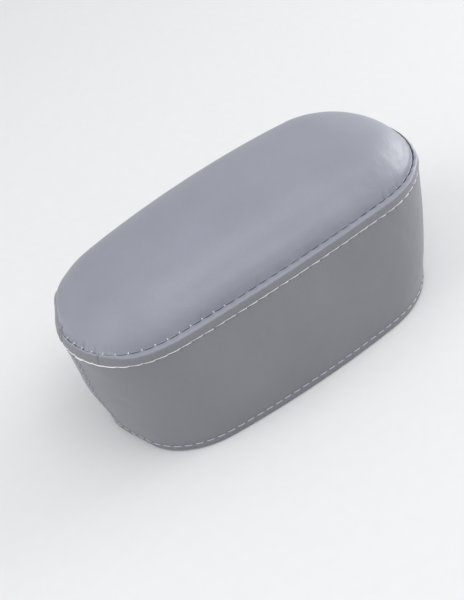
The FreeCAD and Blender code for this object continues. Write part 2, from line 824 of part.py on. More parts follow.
def make_parts(document, sheet):
    """Every sub-part, in the order in which the pad is put together."""
    tee_nuts = make_tee_nuts(document)
    crown_bottom = f"({ref('hem_bottom')} - {ref('tack_strip_thickness')} - {ref('staple_gauge')})"
    cover_staples = make_staples(
        document, sheet, "cover_staples", ref("cover_staple_inset"), crown_bottom,
        ref("cover_staple_count"), 0.0,
    )
    dust_staples = make_staples(
        document, sheet, "dust_cover_staples", ref("dust_staple_inset"), "0",
        ref("dust_staple_count"), 0.5,
    )
    staples = document.addObject("Part::Compound", "AllStaples")
    staples.Links = [cover_staples, dust_staples]
    fasteners = document.addObject("Part::Compound", "AllFasteners")
    fasteners.Links = [tee_nuts, cover_staples, dust_staples]
    return [
        make_base_board(document, sheet, fasteners),
        tee_nuts,
        make_foam_core(document, sheet),
        make_foam_topper(document, sheet),
        make_top_wadding(document, sheet),
        make_side_wadding(document, sheet),
        make_top_cover(document, sheet),
        make_side_cover(document, sheet, staples),
        make_seam_tape(document, sheet),
        make_tack_strip(document, sheet, staples),
        cover_staples,
        make_dust_cover(document, sheet, staples),
        dust_staples,
        *make_threads(document, sheet),
    ]


def check(document, parts):
    """Stops if a feature failed or a sub-part has no valid solid."""
    for item in document.Objects:
        if {"Invalid", "Error"} & set(item.State):
            raise RuntimeError(f"{item.Label} did not recompute: {item.State}")
    for part in parts:
        if part.Shape.isNull() or not part.Shape.isValid() or not part.Shape.Solids:
            raise RuntimeError(f"{part.Label} has no valid solid")


def main():
    document = FreeCAD.newDocument("ArmrestPad")
    sheet = make_sheet(document)
    parts = make_parts(document, sheet)
    document.recompute()
    check(document, parts)
    os.makedirs("parts", exist_ok=True)
    for part in parts:
        part.Shape.exportStep(f"parts/{part.Label}.step")
        print(f"{part.Label}: {len(part.Shape.Solids)} solid(s), {part.Shape.Volume:.0f} mm3")


main()
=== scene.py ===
import math

import bpy
import numpy as np
from mathutils import Matrix, Vector
from mathutils.geometry import delaunay_2d_cdt


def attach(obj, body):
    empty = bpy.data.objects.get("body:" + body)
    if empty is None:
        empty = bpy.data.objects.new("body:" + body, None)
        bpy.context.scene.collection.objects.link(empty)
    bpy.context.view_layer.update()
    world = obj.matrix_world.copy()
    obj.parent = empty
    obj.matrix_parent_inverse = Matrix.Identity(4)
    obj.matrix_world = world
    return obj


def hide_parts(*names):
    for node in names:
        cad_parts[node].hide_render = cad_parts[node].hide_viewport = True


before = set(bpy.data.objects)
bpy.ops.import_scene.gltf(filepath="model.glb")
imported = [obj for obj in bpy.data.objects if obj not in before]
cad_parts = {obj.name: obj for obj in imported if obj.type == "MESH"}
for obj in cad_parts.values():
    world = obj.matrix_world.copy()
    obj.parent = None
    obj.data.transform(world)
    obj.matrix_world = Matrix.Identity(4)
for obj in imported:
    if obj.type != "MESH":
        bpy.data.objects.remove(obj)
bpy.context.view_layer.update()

# Upholstered armrest pad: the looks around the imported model. Metres, in the model's frame:
# +X from the nose to the rear end, +Z up, origin at the centre of the underside.
#
# The cover is made of a boxing strip and a crown panel, each a fine mesh on the same stations
# round the pad. A coarse copy of each is inflated as cloth first, and the fine mesh takes up
# its wrinkles. The seams, the groove under every stitch and the threads come after that.

MM = 0.001
STATIONS = 1240
CAGE_STATIONS = 124
SEAM_STITCHES = 82
TOP_STITCHES = 85
HEM_STITCHES = 89
NOSE_STITCHES = 14


# ---- small helpers ----

# The stations, as shares of a turn round the pad.
TURN = np.arange(STATIONS) / STATIONS


def unit(vectors):
    """Vectors at a length of 1."""
    return vectors / np.linalg.norm(vectors, axis=-1, keepdims=True)


def column(values):
    """Values, one to a station, that scale or move whole points."""
    return np.asarray(values)[:, None]


def level_ring(flat, height):
    """Points of a plan, all at one height."""
    return np.c_[flat, np.full(STATIONS, height)]


def bell(distance, width):
    """1 at no distance, falling off on both sides over a width."""
    return np.exp(-(distance / width) ** 2)


def ramp(value, start, span):
    """0 up to a start, then rising evenly to 1 over a span."""
    return np.clip((value - start) / span, 0, 1)


def eased(share):
    """A share from 0 to 1, made to start and stop gently."""
    return share * share * (3 - 2 * share)


def between(a, b, c, d, share):
    """Point a share of the way from b to c, on the Catmull-Rom curve through all four."""
    cubic = 2 * b + (c - a) * share + (2 * a - 5 * b + 4 * c - d) * share ** 2
    return (cubic + (3 * b - a - 3 * c + d) * share ** 3) / 2


def wave(seed, lowest, octaves):
    """Smooth closed noise round the pad, about 1 high, from a lowest number of waves."""
    waves_each, fall, norm = 4, 1.4, 3
    rng = np.random.default_rng(seed)
    total = np.zeros(STATIONS)
    for k in range(octaves):
        for _ in range(waves_each):
            cycles = rng.integers(lowest * 2 ** k, lowest * 2 ** (k + 1))
            total += np.sin(2 * np.pi * (cycles * TURN + rng.random())) / (norm * fall ** k)
    return total


def near_stitch(count, width, perimeter):
    """1 at each of a number of stitches round the pad, falling off over a width."""
    gap = (TURN * count + 0.5) % 1.0 - 0.5
    return bell(gap * perimeter / count, width)


def round_distance(outline, x, y):
    """Distance along an outline from the station nearest to a point, in mm."""
    nearest = np.argmin(np.hypot(outline.xy[:, 0] - x * MM, outline.xy[:, 1] - y * MM))
    steps = (np.arange(STATIONS) - nearest + STATIONS // 2) % STATIONS - STATIONS // 2
    return steps * outline.length / STATIONS / MM


def linked(name, data):
    obj = bpy.data.objects.new(name, data)
    bpy.context.scene.collection.objects.link(obj)
    return obj


def mesh_object(name, verts, faces):
    """Smooth-shaded object in the scene."""
    mesh = bpy.data.meshes.new(name)
    mesh.from_pydata(np.asarray(verts).tolist(), [], faces)
    mesh.polygons.foreach_set("use_smooth", [True] * len(mesh.polygons))
    mesh.update()
    return linked(name, mesh)


def ring_faces(rows, columns, closed=False):
    """Quads between rings of vertices, and back to the first ring if closed."""
    faces = []
    for j in range(rows if closed else rows - 1):
        a, b = j * columns, ((j + 1) % rows) * columns
        for i in range(columns):
            k = (i + 1) % columns
            faces.append((a + i, a + k, b + k, b + i))
    return faces


def ladder_faces(start, columns):
    """Faces that close the last ring across the pad's centre line."""
    faces = []
    for i in range(columns // 2):
        corners = (i, i + 1, columns - i - 1, columns - i)
        face = tuple(dict.fromkeys(start + v % columns for v in corners))
        if len(face) > 2:
            faces.append(face)
    return faces


# ---- outlines ----

class Outline:
    """Oval of four tangent arcs at even stations, from the nose round by -Y to the nose."""

    def __init__(self, nose, rear, half, nose_radius, rear_radius, corners, dents=()):
        self.nose, self.rear, self.half = nose * MM, rear * MM, half * MM
        nose_r, rear_r = nose_radius * MM, rear_radius * MM
        nose_x, rear_x = self.nose + nose_r, self.rear - rear_r
        side_r, back = side_arc(rear_x - nose_x, self.half, nose_r, rear_r)
        side_x, drop = nose_x + back, side_r - self.half
        nose_angle = math.atan2(drop, nose_x - side_x)
        rear_angle = math.atan2(drop, rear_x - side_x)
        full = 2 * math.pi
        # Each arc: its centre, its radius and the angles it starts and ends at.
        arcs = (
            (nose_x, 0.0, nose_r, math.pi, full - nose_angle),
            (side_x, drop, side_r, full - nose_angle, full - rear_angle),
            (rear_x, 0.0, rear_r, -rear_angle, rear_angle),
            (side_x, -drop, side_r, rear_angle, nose_angle),
            (nose_x, 0.0, nose_r, nose_angle, math.pi),
        )
        edges = np.cumsum([0.0] + [r * (end - start) for _, _, r, start, end in arcs])
        where = TURN * edges[-1]
        self.xy = np.zeros((STATIONS, 2))
        self.normal = np.zeros((STATIONS, 2))
        for (cx, cy, r, start, _), low, high in zip(arcs, edges[:-1], edges[1:]):
            own = (where >= low) & (where < high)
            angle = start + (where[own] - low) / r
            self.normal[own] = np.c_[np.cos(angle), np.sin(angle)]
            self.xy[own] = np.c_[cx, cy] + r * self.normal[own]
        self.length = edges[-1]
        # Corners between the ends and the sides stand fuller, or slimmer, than the arcs.
        corner = np.where(self.normal[:, 0] < 0, *corners)
        out = corner * (2 * self.normal[:, 0] * self.normal[:, 1]) ** 2
        for x, y, width, depth in dents:
            out = out - depth * bell(round_distance(self, x, y), width)
        self.xy = self.xy + self.normal * out[:, None] * MM


def side_arc(length, half, nose_radius, rear_radius):
    """Radius of the side arcs, and how far their centre is behind the nose arc's."""

    def reach(radius):
        slack = 2 * radius - half
        front = math.sqrt((half - nose_radius) * (slack - nose_radius))
        back = math.sqrt((half - rear_radius) * (slack - rear_radius))
        return front, front + back

    tolerance = 1e-9
    low, high = half, half * 1000
    while high - low > tolerance * high:
        radius = (low + high) / 2
        if reach(radius)[1] < length:
            low = radius
        else:
            high = radius
    return high, reach(high)[0]


# In mm: nose end, rear end, half width, end radii, and how full the corners are at the nose and
# at the rear. Each dent is where it is, its width and its depth.
FOOT = Outline(-109.2, 106.9, 58.6, 52.7, 57.8, (0.9, -0.5))
SHOULDER = Outline(-120.0, 121.7, 55.3, 51.4, 54.6, (2.0, -1.7), [(-113.5, 28.0, 17.0, 1.4)])
SEAM = Outline(-118.1, 117.2, 52.2, 48.0, 51.5, (2.1, 0.6), [(-112.5, 26.5, 16.0, 2.1)])

# Heights of the topstitching, the top seam and the hem's stitching.
SHOULDER_Z = 75.3 * MM
SEAM_Z = 81.9 * MM
HEM_Z = 4.95 * MM
SIDE_BULGE = 4.0 * MM
CROWN_RISE = 30.4 * MM
# The crown's curve across the pad, and how it changes towards the ends.
CROWN_POWER = 2.33
CROWN_FULLNESS = 0.55
CROWN_END_FULLNESS = 0.50
CROWN_END_DROP = 0.37
CROWN_SIDE_TUCK = 1.33 * MM
CROWN_END_TUCK = 2.64 * MM
# How far the crown's spine stops short of each end, as a share of the half width.
SPINE_SHARE = 0.93


# ---- plain shapes of the wall and the crown ----

def wall_row(height):
    """Plan and outward normals of the plain wall at a height."""
    share = height / SHOULDER_Z
    normal = unit(FOOT.normal + (SHOULDER.normal - FOOT.normal) * share)
    flat = FOOT.xy + (SHOULDER.xy - FOOT.xy) * share
    flat = flat + np.c_[np.zeros(STATIONS), normal[:, 1] * SIDE_BULGE * 4 * share * (1 - share)]
    return flat, normal


def wall_ring(height, out):
    """Ring of points a distance out from the plain wall."""
    flat, normal = wall_row(height)
    return level_ring(flat + normal * column(out), height)


def crown_row(ratio):
    """Points of the plain crown at a ratio of the way from its spine to the seam."""
    spine = np.clip(
        SEAM.xy[:, 0],
        SEAM.nose + SPINE_SHARE * SEAM.half,
        SEAM.rear - SPINE_SHARE * SEAM.half,
    )
    spine = np.c_[spine, np.zeros(STATIONS)]
    flat = spine + (SEAM.xy - spine) * ratio
    middle, half_length = (SEAM.nose + SEAM.rear) / 2, (SEAM.rear - SEAM.nose) / 2
    end = SEAM.normal[:, 0] ** 2
    fullness = CROWN_FULLNESS + (CROWN_END_FULLNESS - CROWN_FULLNESS) * end
    drop = 1 - CROWN_END_DROP * ((flat[:, 0] - middle) / half_length) ** 2
    share = drop * (1 - ratio ** CROWN_POWER) ** fullness
    tuck = CROWN_SIDE_TUCK + (CROWN_END_TUCK - CROWN_SIDE_TUCK) * end
    flat = flat - SEAM.normal * column(tuck * np.sin(np.pi * np.sqrt(share)))
    return np.c_[flat, SEAM_Z + CROWN_RISE * share]


# ---- cloth ----

WALL_CAGE_HEIGHTS = np.linspace(3.5 * MM, SHOULDER_Z, 13)
CROWN_CAGE_RATIOS = np.concatenate([[1.0, 0.985], np.linspace(0.95, 0.04, 15)])
SKIP = STATIONS // CAGE_STATIONS
CLOTH_FRAMES = 20
CLOTH_CAP = 2 * MM
CLOTH_SETTINGS = {
    "vertex_group_mass": "pins",
    "quality": 6, "mass": 0.2, "air_damping": 2, "shrink_min": -0.02,
    "tension_stiffness": 12, "compression_stiffness": 12,
    "shear_stiffness": 4, "bending_stiffness": 0.35,
    "use_pressure": True, "uniform_pressure_force": 4,
}
# Swellings broader than this many simulated stations are taken out of the moves.
SWELL_WIDTH = 6
WALL_WRINKLE_GAIN = 0.10
CROWN_WRINKLE_GAIN = 0.12
# Share of the crown's wrinkles that is kept over its middle. It grows to 1 by the edge.
MIDDLE_SHARE = 0.25
FADE_START, FADE_SPAN = 0.7, 0.2
NORMAL_STEP = 0.01


def cloth_object(name, rows, pinned_rows, close):
    """Coarse cage with a Cloth modifier that inflates it between its pinned rows."""
    verts = np.concatenate([row[::SKIP] for row in rows])
    count = CAGE_STATIONS
    faces = ring_faces(len(rows), count)
    if close:
        faces += ladder_faces((len(rows) - 1) * count, count)
    cage = mesh_object(name, verts, faces)
    pins = cage.vertex_groups.new(name="pins")
    pins.add([j * count + i for j in pinned_rows for i in range(count)], 1.0, "REPLACE")
    settings = cage.modifiers.new("cloth", "CLOTH").settings
    for key, value in CLOTH_SETTINGS.items():
        setattr(settings, key, value)
    settings.effector_weights.gravity = 0
    return cage


def inflate():
    """Moves of the wall's and the crown's cages, as rows by stations by 3."""
    wall = [level_ring(wall_row(z)[0], z) for z in WALL_CAGE_HEIGHTS]
    crown = [crown_row(ratio) for ratio in CROWN_CAGE_RATIOS]
    cages = (
        cloth_object("wall_cage", wall, (0, len(wall) - 1), False),
        cloth_object("crown_cage", crown, (0,), True),
    )
    for number in range(1, CLOTH_FRAMES + 1):
        bpy.context.scene.frame_set(number)
    depsgraph = bpy.context.evaluated_depsgraph_get()
    moves = []
    for cage, rows in zip(cages, (wall, crown)):
        found = cage.evaluated_get(depsgraph).data
        points = np.empty(len(found.vertices) * 3)
        found.vertices.foreach_get("co", points)
        rest = np.concatenate([row[::SKIP] for row in rows])
        move = (points.reshape(-1, 3) - rest).reshape(len(rows), CAGE_STATIONS, 3)
        size = np.linalg.norm(move, axis=2, keepdims=True)
        moves.append(move * np.minimum(1, CLOTH_CAP / np.maximum(size, 1e-9)))
    bpy.context.scene.frame_set(1)
    for cage in cages:
        bpy.data.objects.remove(cage)
    return moves


def round_the_pad(coarse):
    """Coarse stations filled in to every station by a closed cubic curve."""
    whole = np.arange(STATIONS) // SKIP
    share = column((np.arange(STATIONS) % SKIP) / SKIP)
    around = [coarse[(whole + k) % CAGE_STATIONS] for k in (-1, 0, 1, 2)]
    return between(*around, share)


class Wrinkles:
    """What the cloth adds to a plain shape: its moves less the broad swelling of each row."""

    def __init__(self, levels, moves, weights):
        order = np.argsort(levels)
        self.levels = np.asarray(levels)[order]
        gap = np.arange(CAGE_STATIONS)
        gap = np.minimum(gap, CAGE_STATIONS - gap)
        broad = bell(gap, SWELL_WIDTH)
        broad = np.fft.fft(broad / broad.sum())[:, None]
        rows = []
        for j in order:
            swelling = np.fft.ifft(np.fft.fft(moves[j], axis=0) * broad, axis=0).real
            rows.append(round_the_pad(moves[j] - swelling) * weights[j])
        self.rows = np.array(rows)

    def at(self, level):
        """Moves of the row at a height on the wall, or at a ratio on the crown."""
        j = int(np.clip(np.searchsorted(self.levels, level) - 1, 0, len(self.levels) - 2))
        share = ramp(level, self.levels[j], self.levels[j + 1] - self.levels[j])
        return self.rows[j] + (self.rows[j + 1] - self.rows[j]) * eased(share)


def crown_normals(ratio):
    """Upward normals of the plain crown at a ratio."""
    low = crown_row(min(1.0, ratio + NORMAL_STEP))
    high = crown_row(max(2 * NORMAL_STEP, ratio - NORMAL_STEP))
    up = unit(high - low)
    along = np.c_[-SEAM.normal[:, 1], SEAM.normal[:, 0], np.zeros(STATIONS)]
    normal = np.cross(along, up)
    return unit(np.where(column(normal[:, 2]) < 0, -normal, normal))


wall_moves, crown_moves = inflate()
wall_wrinkles = Wrinkles(
    WALL_CAGE_HEIGHTS, wall_moves, np.full(len(WALL_CAGE_HEIGHTS), WALL_WRINKLE_GAIN)
)
by_edge = ramp(CROWN_CAGE_RATIOS, FADE_START, FADE_SPAN)
crown_fade = MIDDLE_SHARE + (1 - MIDDLE_SHARE) * by_edge
crown_wrinkles = Wrinkles(CROWN_CAGE_RATIOS, crown_moves, crown_fade * CROWN_WRINKLE_GAIN)


# ---- boxing strip ----

TICK_WIDTH, HOLE_WIDTH = 0.8 * MM, 0.9 * MM
seam_tick = near_stitch(SEAM_STITCHES, TICK_WIDTH, SEAM.length)
top_hole = near_stitch(TOP_STITCHES, HOLE_WIDTH, SHOULDER.length)
hem_hole = near_stitch(HEM_STITCHES, HOLE_WIDTH, FOOT.length)

# Rolled rim and turned-in hem: distance out from the foot, height, in mm.
RIM_PROFILE = (
    (-21.0, 1.6), (-15.0, 1.6), (-9.0, 1.6), (-5.6, 1.6), (-4.6, 1.3), (-3.9, 0.85),
    (-2.6, 0.55), (-1.0, 0.5), (0.2, 0.7), (0.85, 1.2), (1.1, 1.9), (0.95, 2.7),
)
# Full and slack places of the wall, in mm: where on the foot, width, height, spread, how far out.
WALL_FULLNESS = (
    (-110.0, 10.0, 16.0, 36.0, 15.0, 1.9), (-107.0, -12.0, 17.0, 0.0, 10.0, -3.2),
    (-119.0, -4.0, 14.0, 66.0, 9.0, -0.6),
)
# Rolled band: share of the way in to the seam, distance out, height over the shoulder, in mm.
BAND_PROFILE = (
    (0.0, -0.45, 0.0), (0.0, 0.2, 0.55), (0.02, 0.7, 1.5), (0.04, 0.9, 2.8),
    (0.05, 0.95, 4.0), (0.08, 0.90, 5.2), (0.17, 0.76, 5.85), (0.38, 0.54, 6.35),
    (0.64, 0.35, 6.65), (0.86, 0.15, 6.7), (0.97, 0.0, 6.3), (1.01, -0.2, 5.6), (1.04, -0.5, 4.6),
)
BAND_TOP = 6.7
# Up to this share of the way in, the band leans in over the ends.
BAND_ROLL = 0.9
# Creases of the band by the nose, in mm: where on the seam, width, depth, and form up the band:
# 0 is deepest half way up, 1 grows evenly to the top and 2 grows late.
BAND_CREASES = (
    (-112.0, -24.5, 0.55, 0.9, 0), (-118.0, 7.0, 0.7, 1.3, 0),
    (-117.0, 11.0, 1.5, 2.6, 2), (-115.5, 20.0, 11.0, 0.9, 1),
)
# Inner face of the band: share of the way in, height over the shoulder, in mm.
BAND_LINING = ((0.9, 4.4), (0.5, 3.0), (0.1, 0.5))
SCALLOP_WIDTH, SCALLOP_HEIGHT = 1.4 * MM, 0.35 * MM
# Heights of the wall's rows, closer together over the hem and under the band.
RIM_TOP, CLOSE_ROWS = 3.4 * MM, 8 * MM
WALL_LEVELS = np.concatenate([
    np.linspace(RIM_TOP, CLOSE_ROWS, 14)[:-1],
    np.linspace(CLOSE_ROWS, SHOULDER_Z - CLOSE_ROWS, 70)[:-1],
    np.linspace(SHOULDER_Z - CLOSE_ROWS, SHOULDER_Z, 24)[:-1],
])
# The strip's inner face: the cover's thickness, the slack under it, and its rings on the hem.
COVER = 1.2 * MM
LINING_GAP = 0.3 * MM
HEM_INSIDE_Z = 2.8 * MM
HEM_INSIDE = (-9.0, -21.0)
# Grooves along the lines of stitches, in mm: depth, more depth at a stitch, width.
HEM_GROOVE = (0.25, 0.30, 0.9)
TOP_GROOVE = (0.25, 0.22, 1.2)
# Roll of the cover under the hem's stitching, in mm: how far out, how far below it, width.
HEM_ROLL = (0.6, 1.2, 1.6)
# Upright seam down the nose: where its groove is, in mm, and where its stitches start.
NOSE_GROOVE_Y = -0.2
NOSE_SEAM_START = 9 * MM
NOSE_PITCH = (SHOULDER_Z - NOSE_SEAM_START) / NOSE_STITCHES


def smooth_curve(points, per_span):
    """Smooth curve through a few profile points."""
    p = np.array(points, float)
    p = np.vstack([2 * p[0] - p[1], p, 2 * p[-1] - p[-2]])
    found = []
    for k in range(1, len(p) - 2):
        found += [between(*p[k - 1: k + 3], share) for share in np.arange(per_span) / per_span]
    found.append(p[-2])
    return np.array(found)


def nose_groove(height):
    """Dent along the upright seam down the nose, deeper at each of its stitches."""
    y = FOOT.xy[:, 1] / MM
    front = FOOT.xy[:, 0] < 0
    groove_depth, stitch_depth, lap_height = 0.45, 0.35, 0.25
    groove_width, stitch_width, lap_width = 0.7, 0.2, 3.0
    gap = ((height - NOSE_SEAM_START) / NOSE_PITCH + 0.5) % 1.0 - 0.5
    depth = groove_depth + stitch_depth * bell(gap, stitch_width)
    lap = lap_height * ramp(y, NOSE_GROOVE_Y, 0.5) * bell(y - NOSE_GROOVE_Y, lap_width)
    dent = -depth * bell(y - NOSE_GROOVE_Y, groove_width) + lap
    return front * ramp(height, 5 * MM, 3 * MM) * dent * MM


def stitch_groove(distance, holes, depth, more, width):
    """Groove at a distance from a line of stitches, deeper at its holes."""
    return -(depth + more * holes) * MM * bell(distance, width * MM)


def wall_offset(height):
    """What the sewing does to the wall at a height, out from the plain wall."""
    below = SHOULDER_Z - height
    above = height - HEM_Z
    out, under, width = HEM_ROLL
    hem = stitch_groove(above, hem_hole, *HEM_GROOVE)
    hem = hem + out * MM * bell(above + under * MM, width * MM)
    top = stitch_groove(below, top_hole, *TOP_GROOVE)
    # Small puckers fan out from both lines of stitches.
    fan = 0.12 * MM * math.exp(-below / (5 * MM)) * (wave(11, 9, 3) - 0.8 * top_hole)
    hem_fan = 0.09 * MM * math.exp(-abs(above) / (4 * MM)) * wave(12, 11, 3)
    return hem + top + fan + hem_fan + nose_groove(height) + wall_fullness(height)


def wall_fullness(height):
    """How far out the full and slack places bring the wall at a height."""
    total = np.zeros(STATIONS)
    for x, y, width, middle, spread, out in WALL_FULLNESS:
        shape = bell(height / MM - middle, spread)
        total = total + out * MM * shape * bell(round_distance(FOOT, x, y), width)
    return total


def band_offset(rise):
    """Puffs of the band between its stitches, and its creases, at a rise in mm."""
    top = ramp(rise, 0.0, BAND_TOP)
    middle = math.sin(math.pi * min(top, 0.98)) ** 0.5
    forms = (middle, top, top ** 2)
    total = -0.30 * seam_tick * top ** 3 + 0.10 * wave(31, 10, 3) * middle
    total = total - 0.25 * top_hole * bell(rise, 1.2)
    for x, y, width, depth, form in BAND_CREASES:
        total = total - depth * forms[form] * bell(round_distance(SEAM, x, y), width)
    return total * MM


def end_lean():
    """1 over each end, where the band leans in with the seam, and 0 along the sides."""
    nose = ramp(-SHOULDER.normal[:, 0], 0.60, 0.25)
    rear = ramp(SHOULDER.normal[:, 0], 0.72, 0.21)
    return eased(nose + rear)


def hem_ring(out, height):
    """Ring of the rim or the hem, a distance in mm out from the foot."""
    flat, normal = wall_row(0.0)
    return level_ring(flat + normal * column(out * MM + wall_fullness(0.0)), height)


def strip_outside():
    """The strip's outer face, from the hem's edge up to the seam."""
    rows = [hem_ring(out, z * MM) for out, z in RIM_PROFILE]
    for z in WALL_LEVELS:
        rows.append(wall_ring(z, wall_offset(z)) + wall_wrinkles.at(z))
    lean = end_lean()
    scallop = near_stitch(SEAM_STITCHES, SCALLOP_WIDTH, SEAM.length)
    for blend, out, rise in smooth_curve(BAND_PROFILE, 4):
        leaning = blend + lean * max(0.0, rise / BAND_TOP - blend) * (blend < BAND_ROLL)
        flat = SHOULDER.xy + (SEAM.xy - SHOULDER.xy) * column(leaning)
        normal = unit(SHOULDER.normal + (SEAM.normal - SHOULDER.normal) * min(blend, 1.0))
        shift = out * MM * (1 - 0.6 * lean * (out > 0)) + band_offset(rise)
        lift = rise * MM + SCALLOP_HEIGHT * scallop * max(0.0, rise / BAND_TOP) ** 4
        rows.append(np.c_[flat + normal * column(shift), SHOULDER_Z + lift])
    return np.array(rows)


def strip_inside():
    """The strip's inner face, from the seam back down to the hem's edge."""
    rows = []
    for blend, rise in BAND_LINING:
        flat = SHOULDER.xy + (SEAM.xy - SHOULDER.xy) * blend - SHOULDER.normal * COVER
        rows.append(level_ring(flat, SHOULDER_Z + rise * MM))
    for z in np.linspace(SHOULDER_Z - 2 * MM, HEM_INSIDE_Z, 9):
        inside = wall_ring(z, wall_fullness(z) - COVER - LINING_GAP)
        rows.append(inside + wall_wrinkles.at(z))
    rows += [hem_ring(out, HEM_INSIDE_Z) for out in HEM_INSIDE]
    return np.array(rows)


strip = strip_outside()
strip_rows = np.concatenate([strip, strip_inside()])
boxing_strip = mesh_object(
    "boxing_strip", strip_rows.reshape(-1, 3), ring_faces(len(strip_rows), STATIONS, True)
)


# ---- crown panel ----

# Seam allowance that turns down behind the band: distance out from the seam, height, in mm.
TUCK_PROFILE = ((-1.6, -3.4), (-1.3, -2.2), (-0.85, -1.2), (-0.5, -0.45))
# How far the seam gapes, more over the rear end, and how far in that reaches, in mm.
SEAM_GAP, REAR_GAPE, GAPE_REACH = 0.25, 0.55, 6.0
# Heights of the crown's fine rows over the seam. Further in, it is coarser.
EDGE_RISES = 19 * MM * np.linspace(0, 1, 46) ** 1.3
INNER_STEP, INNER_ROWS, CROWN_MIDDLE = 4, 21, 0.03
# Gathers along the seam and ripples in from it, in mm: height, reach. The ripples are higher
# about one place on the near side.
GATHER_HEIGHT, GATHER_REACH = 0.14, 3.0
RIPPLE_HEIGHT, RIPPLE_REACH = 0.10, 5.0
SIDE_RIPPLE, SIDE_RIPPLE_X, SIDE_RIPPLE_WIDTH = 0.16, 40.0, 55.0
# Puckers that run in from the seam: where on the seam, width, reach and depth, in mm.
PUCKERS = (
    (-116.6, -14.5, 0.8, 5.5, 0.80), (-115.9, -17.0, 1.2, 4.5, -0.45),
    (-113.0, -22.5, 0.7, 4.0, 0.60), (-117.8, -9.0, 0.9, 3.5, 0.40),
    (-109.0, -29.0, 1.0, 3.0, 0.30), (67.0, -52.5, 1.2, 5.0, 0.40),
    (72.0, -52.0, 1.0, 4.0, 0.25), (79.0, -50.0, 1.3, 4.5, 0.28), (88.0, -46.0, 1.0, 3.5, 0.20),
    (30.0, -52.2, 2.0, 5.0, 0.20), (-8.0, -52.2, 2.5, 6.0, 0.20), (-46.0, -52.0, 2.0, 5.0, 0.18),
    (60.0, 52.4, 1.2, 5.0, 0.30), (-60.0, 52.0, 1.4, 5.0, 0.28), (-112.0, 24.0, 1.0, 4.5, 0.4),
    (102.0, 35.0, 1.0, 4.0, 0.28), (-117.0, 10.5, 1.5, 2.6, 2.2),
)
# Fullness of the crown in from its seam, in mm: where on the seam, width, amount, how far in,
# and its spread.
EDGE_FULLNESS = (
    (-2.0, -52.2, 78.0, 2.2, 8.0, 6.0), (-113.0, 26.0, 22.0, 1.8, 9.0, 6.0),
    (104.0, -33.0, 30.0, 0.8, 3.2, 3.2),
)


def ratio_at(rise):
    """Ratio on the crown that is a height above the seam at the middle of a side."""
    return (1 - (rise / CROWN_RISE) ** (1 / CROWN_FULLNESS)) ** (1 / CROWN_POWER)


def crown_pucker(ratio):
    """Dents and fullness along the crown's edge, at a ratio of the way out to the seam."""
    rise = CROWN_RISE * (1 - ratio ** CROWN_POWER) ** CROWN_FULLNESS
    far = math.hypot(rise, (1 - ratio) * SEAM.half) / MM
    gathers = 0.9 * wave(41, 9, 4) - 0.8 * seam_tick
    total = GATHER_HEIGHT * math.exp(-far / GATHER_REACH) * gathers
    by_place = bell(SEAM.xy[:, 0] / MM - SIDE_RIPPLE_X, SIDE_RIPPLE_WIDTH)
    ripple = RIPPLE_HEIGHT + SIDE_RIPPLE * by_place * (SEAM.normal[:, 1] < 0)
    way_in = far / RIPPLE_REACH
    total = total + ripple * way_in ** 2 * math.exp(2 - 2 * way_in) * wave(42, 8, 2)
    for x, y, width, amount, reach, spread in EDGE_FULLNESS:
        swell = amount * bell(far - reach, spread)
        total = total + swell * bell(round_distance(SEAM, x, y), width)
    for x, y, width, reach, depth in PUCKERS:
        along = bell(round_distance(SEAM, x, y), width * (0.6 + far / 6))
        total = total - depth * along * bell(far, reach)
    return total * MM


def crown_line(ratio):
    """One finished row of the crown."""
    row = crown_row(ratio) + crown_normals(ratio) * column(crown_pucker(ratio))
    return row + crown_wrinkles.at(ratio)


def crown_rows():
    """The crown's fine rows, from the tucked allowance up and in from the seam."""
    rows = []
    gap = (SEAM_GAP + REAR_GAPE * ramp(SEAM.normal[:, 0], 0.3, 0.5)) * MM
    for out, down in TUCK_PROFILE:
        flat = SEAM.xy + SEAM.normal * (out * MM - column(gap) + SEAM_GAP * MM)
        rows.append(level_ring(flat, SEAM_Z + down * MM))
    edge = level_ring(SEAM.normal * column(gap), 0.0)
    for rise in EDGE_RISES:
        rows.append(crown_line(ratio_at(rise)) - edge * math.exp(-rise / (GAPE_REACH * MM)))
    return np.array(rows)


crown = crown_rows()


def crown_mesh():
    """The crown panel, with coarser rows further in, closed over the middle."""
    faces = ring_faces(len(crown), STATIONS)
    fine = (len(crown) - 1) * STATIONS
    coarse = STATIONS // INNER_STEP
    start = len(crown) * STATIONS
    ratios = np.linspace(ratio_at(EDGE_RISES[-1]), CROWN_MIDDLE, INNER_ROWS + 1)[1:]
    inner = [crown_line(ratio)[::INNER_STEP] for ratio in ratios]
    for i in range(coarse):
        edge = [fine + (i * INNER_STEP + s) % STATIONS for s in range(INNER_STEP + 1)]
        faces.append(tuple(edge + [start + (i + 1) % coarse, start + i]))
    faces += [tuple(start + v for v in face) for face in ring_faces(len(ratios), coarse)]
    faces += ladder_faces(start + (len(ratios) - 1) * coarse, coarse)
    points = np.concatenate([crown.reshape(-1, 3), np.concatenate(inner)])
    return mesh_object("crown_panel", points, faces)


crown_panel = crown_mesh()


# ---- threads ----

TOP_THREAD, HEM_THREAD, SEAM_THREAD = 0.34 * MM, 0.28 * MM, 0.27 * MM
PLY_DEPTH, PLY_TWIST = 0.12, 1.6
# The seam's stitches start to sink behind the band here, and are hidden further along.
SINK_X, SINK_X_SPAN = -52 * MM, 26 * MM
SINK_Y, SINK_Y_SPAN = 2 * MM, 8 * MM
SINK_DEPTH = 1.1 * MM
# The stitches over the start of the topstitching, in mm: how far along it, and how high.
BACK_TACKS = ((-1.0, 0.25), (1.4, -0.15))


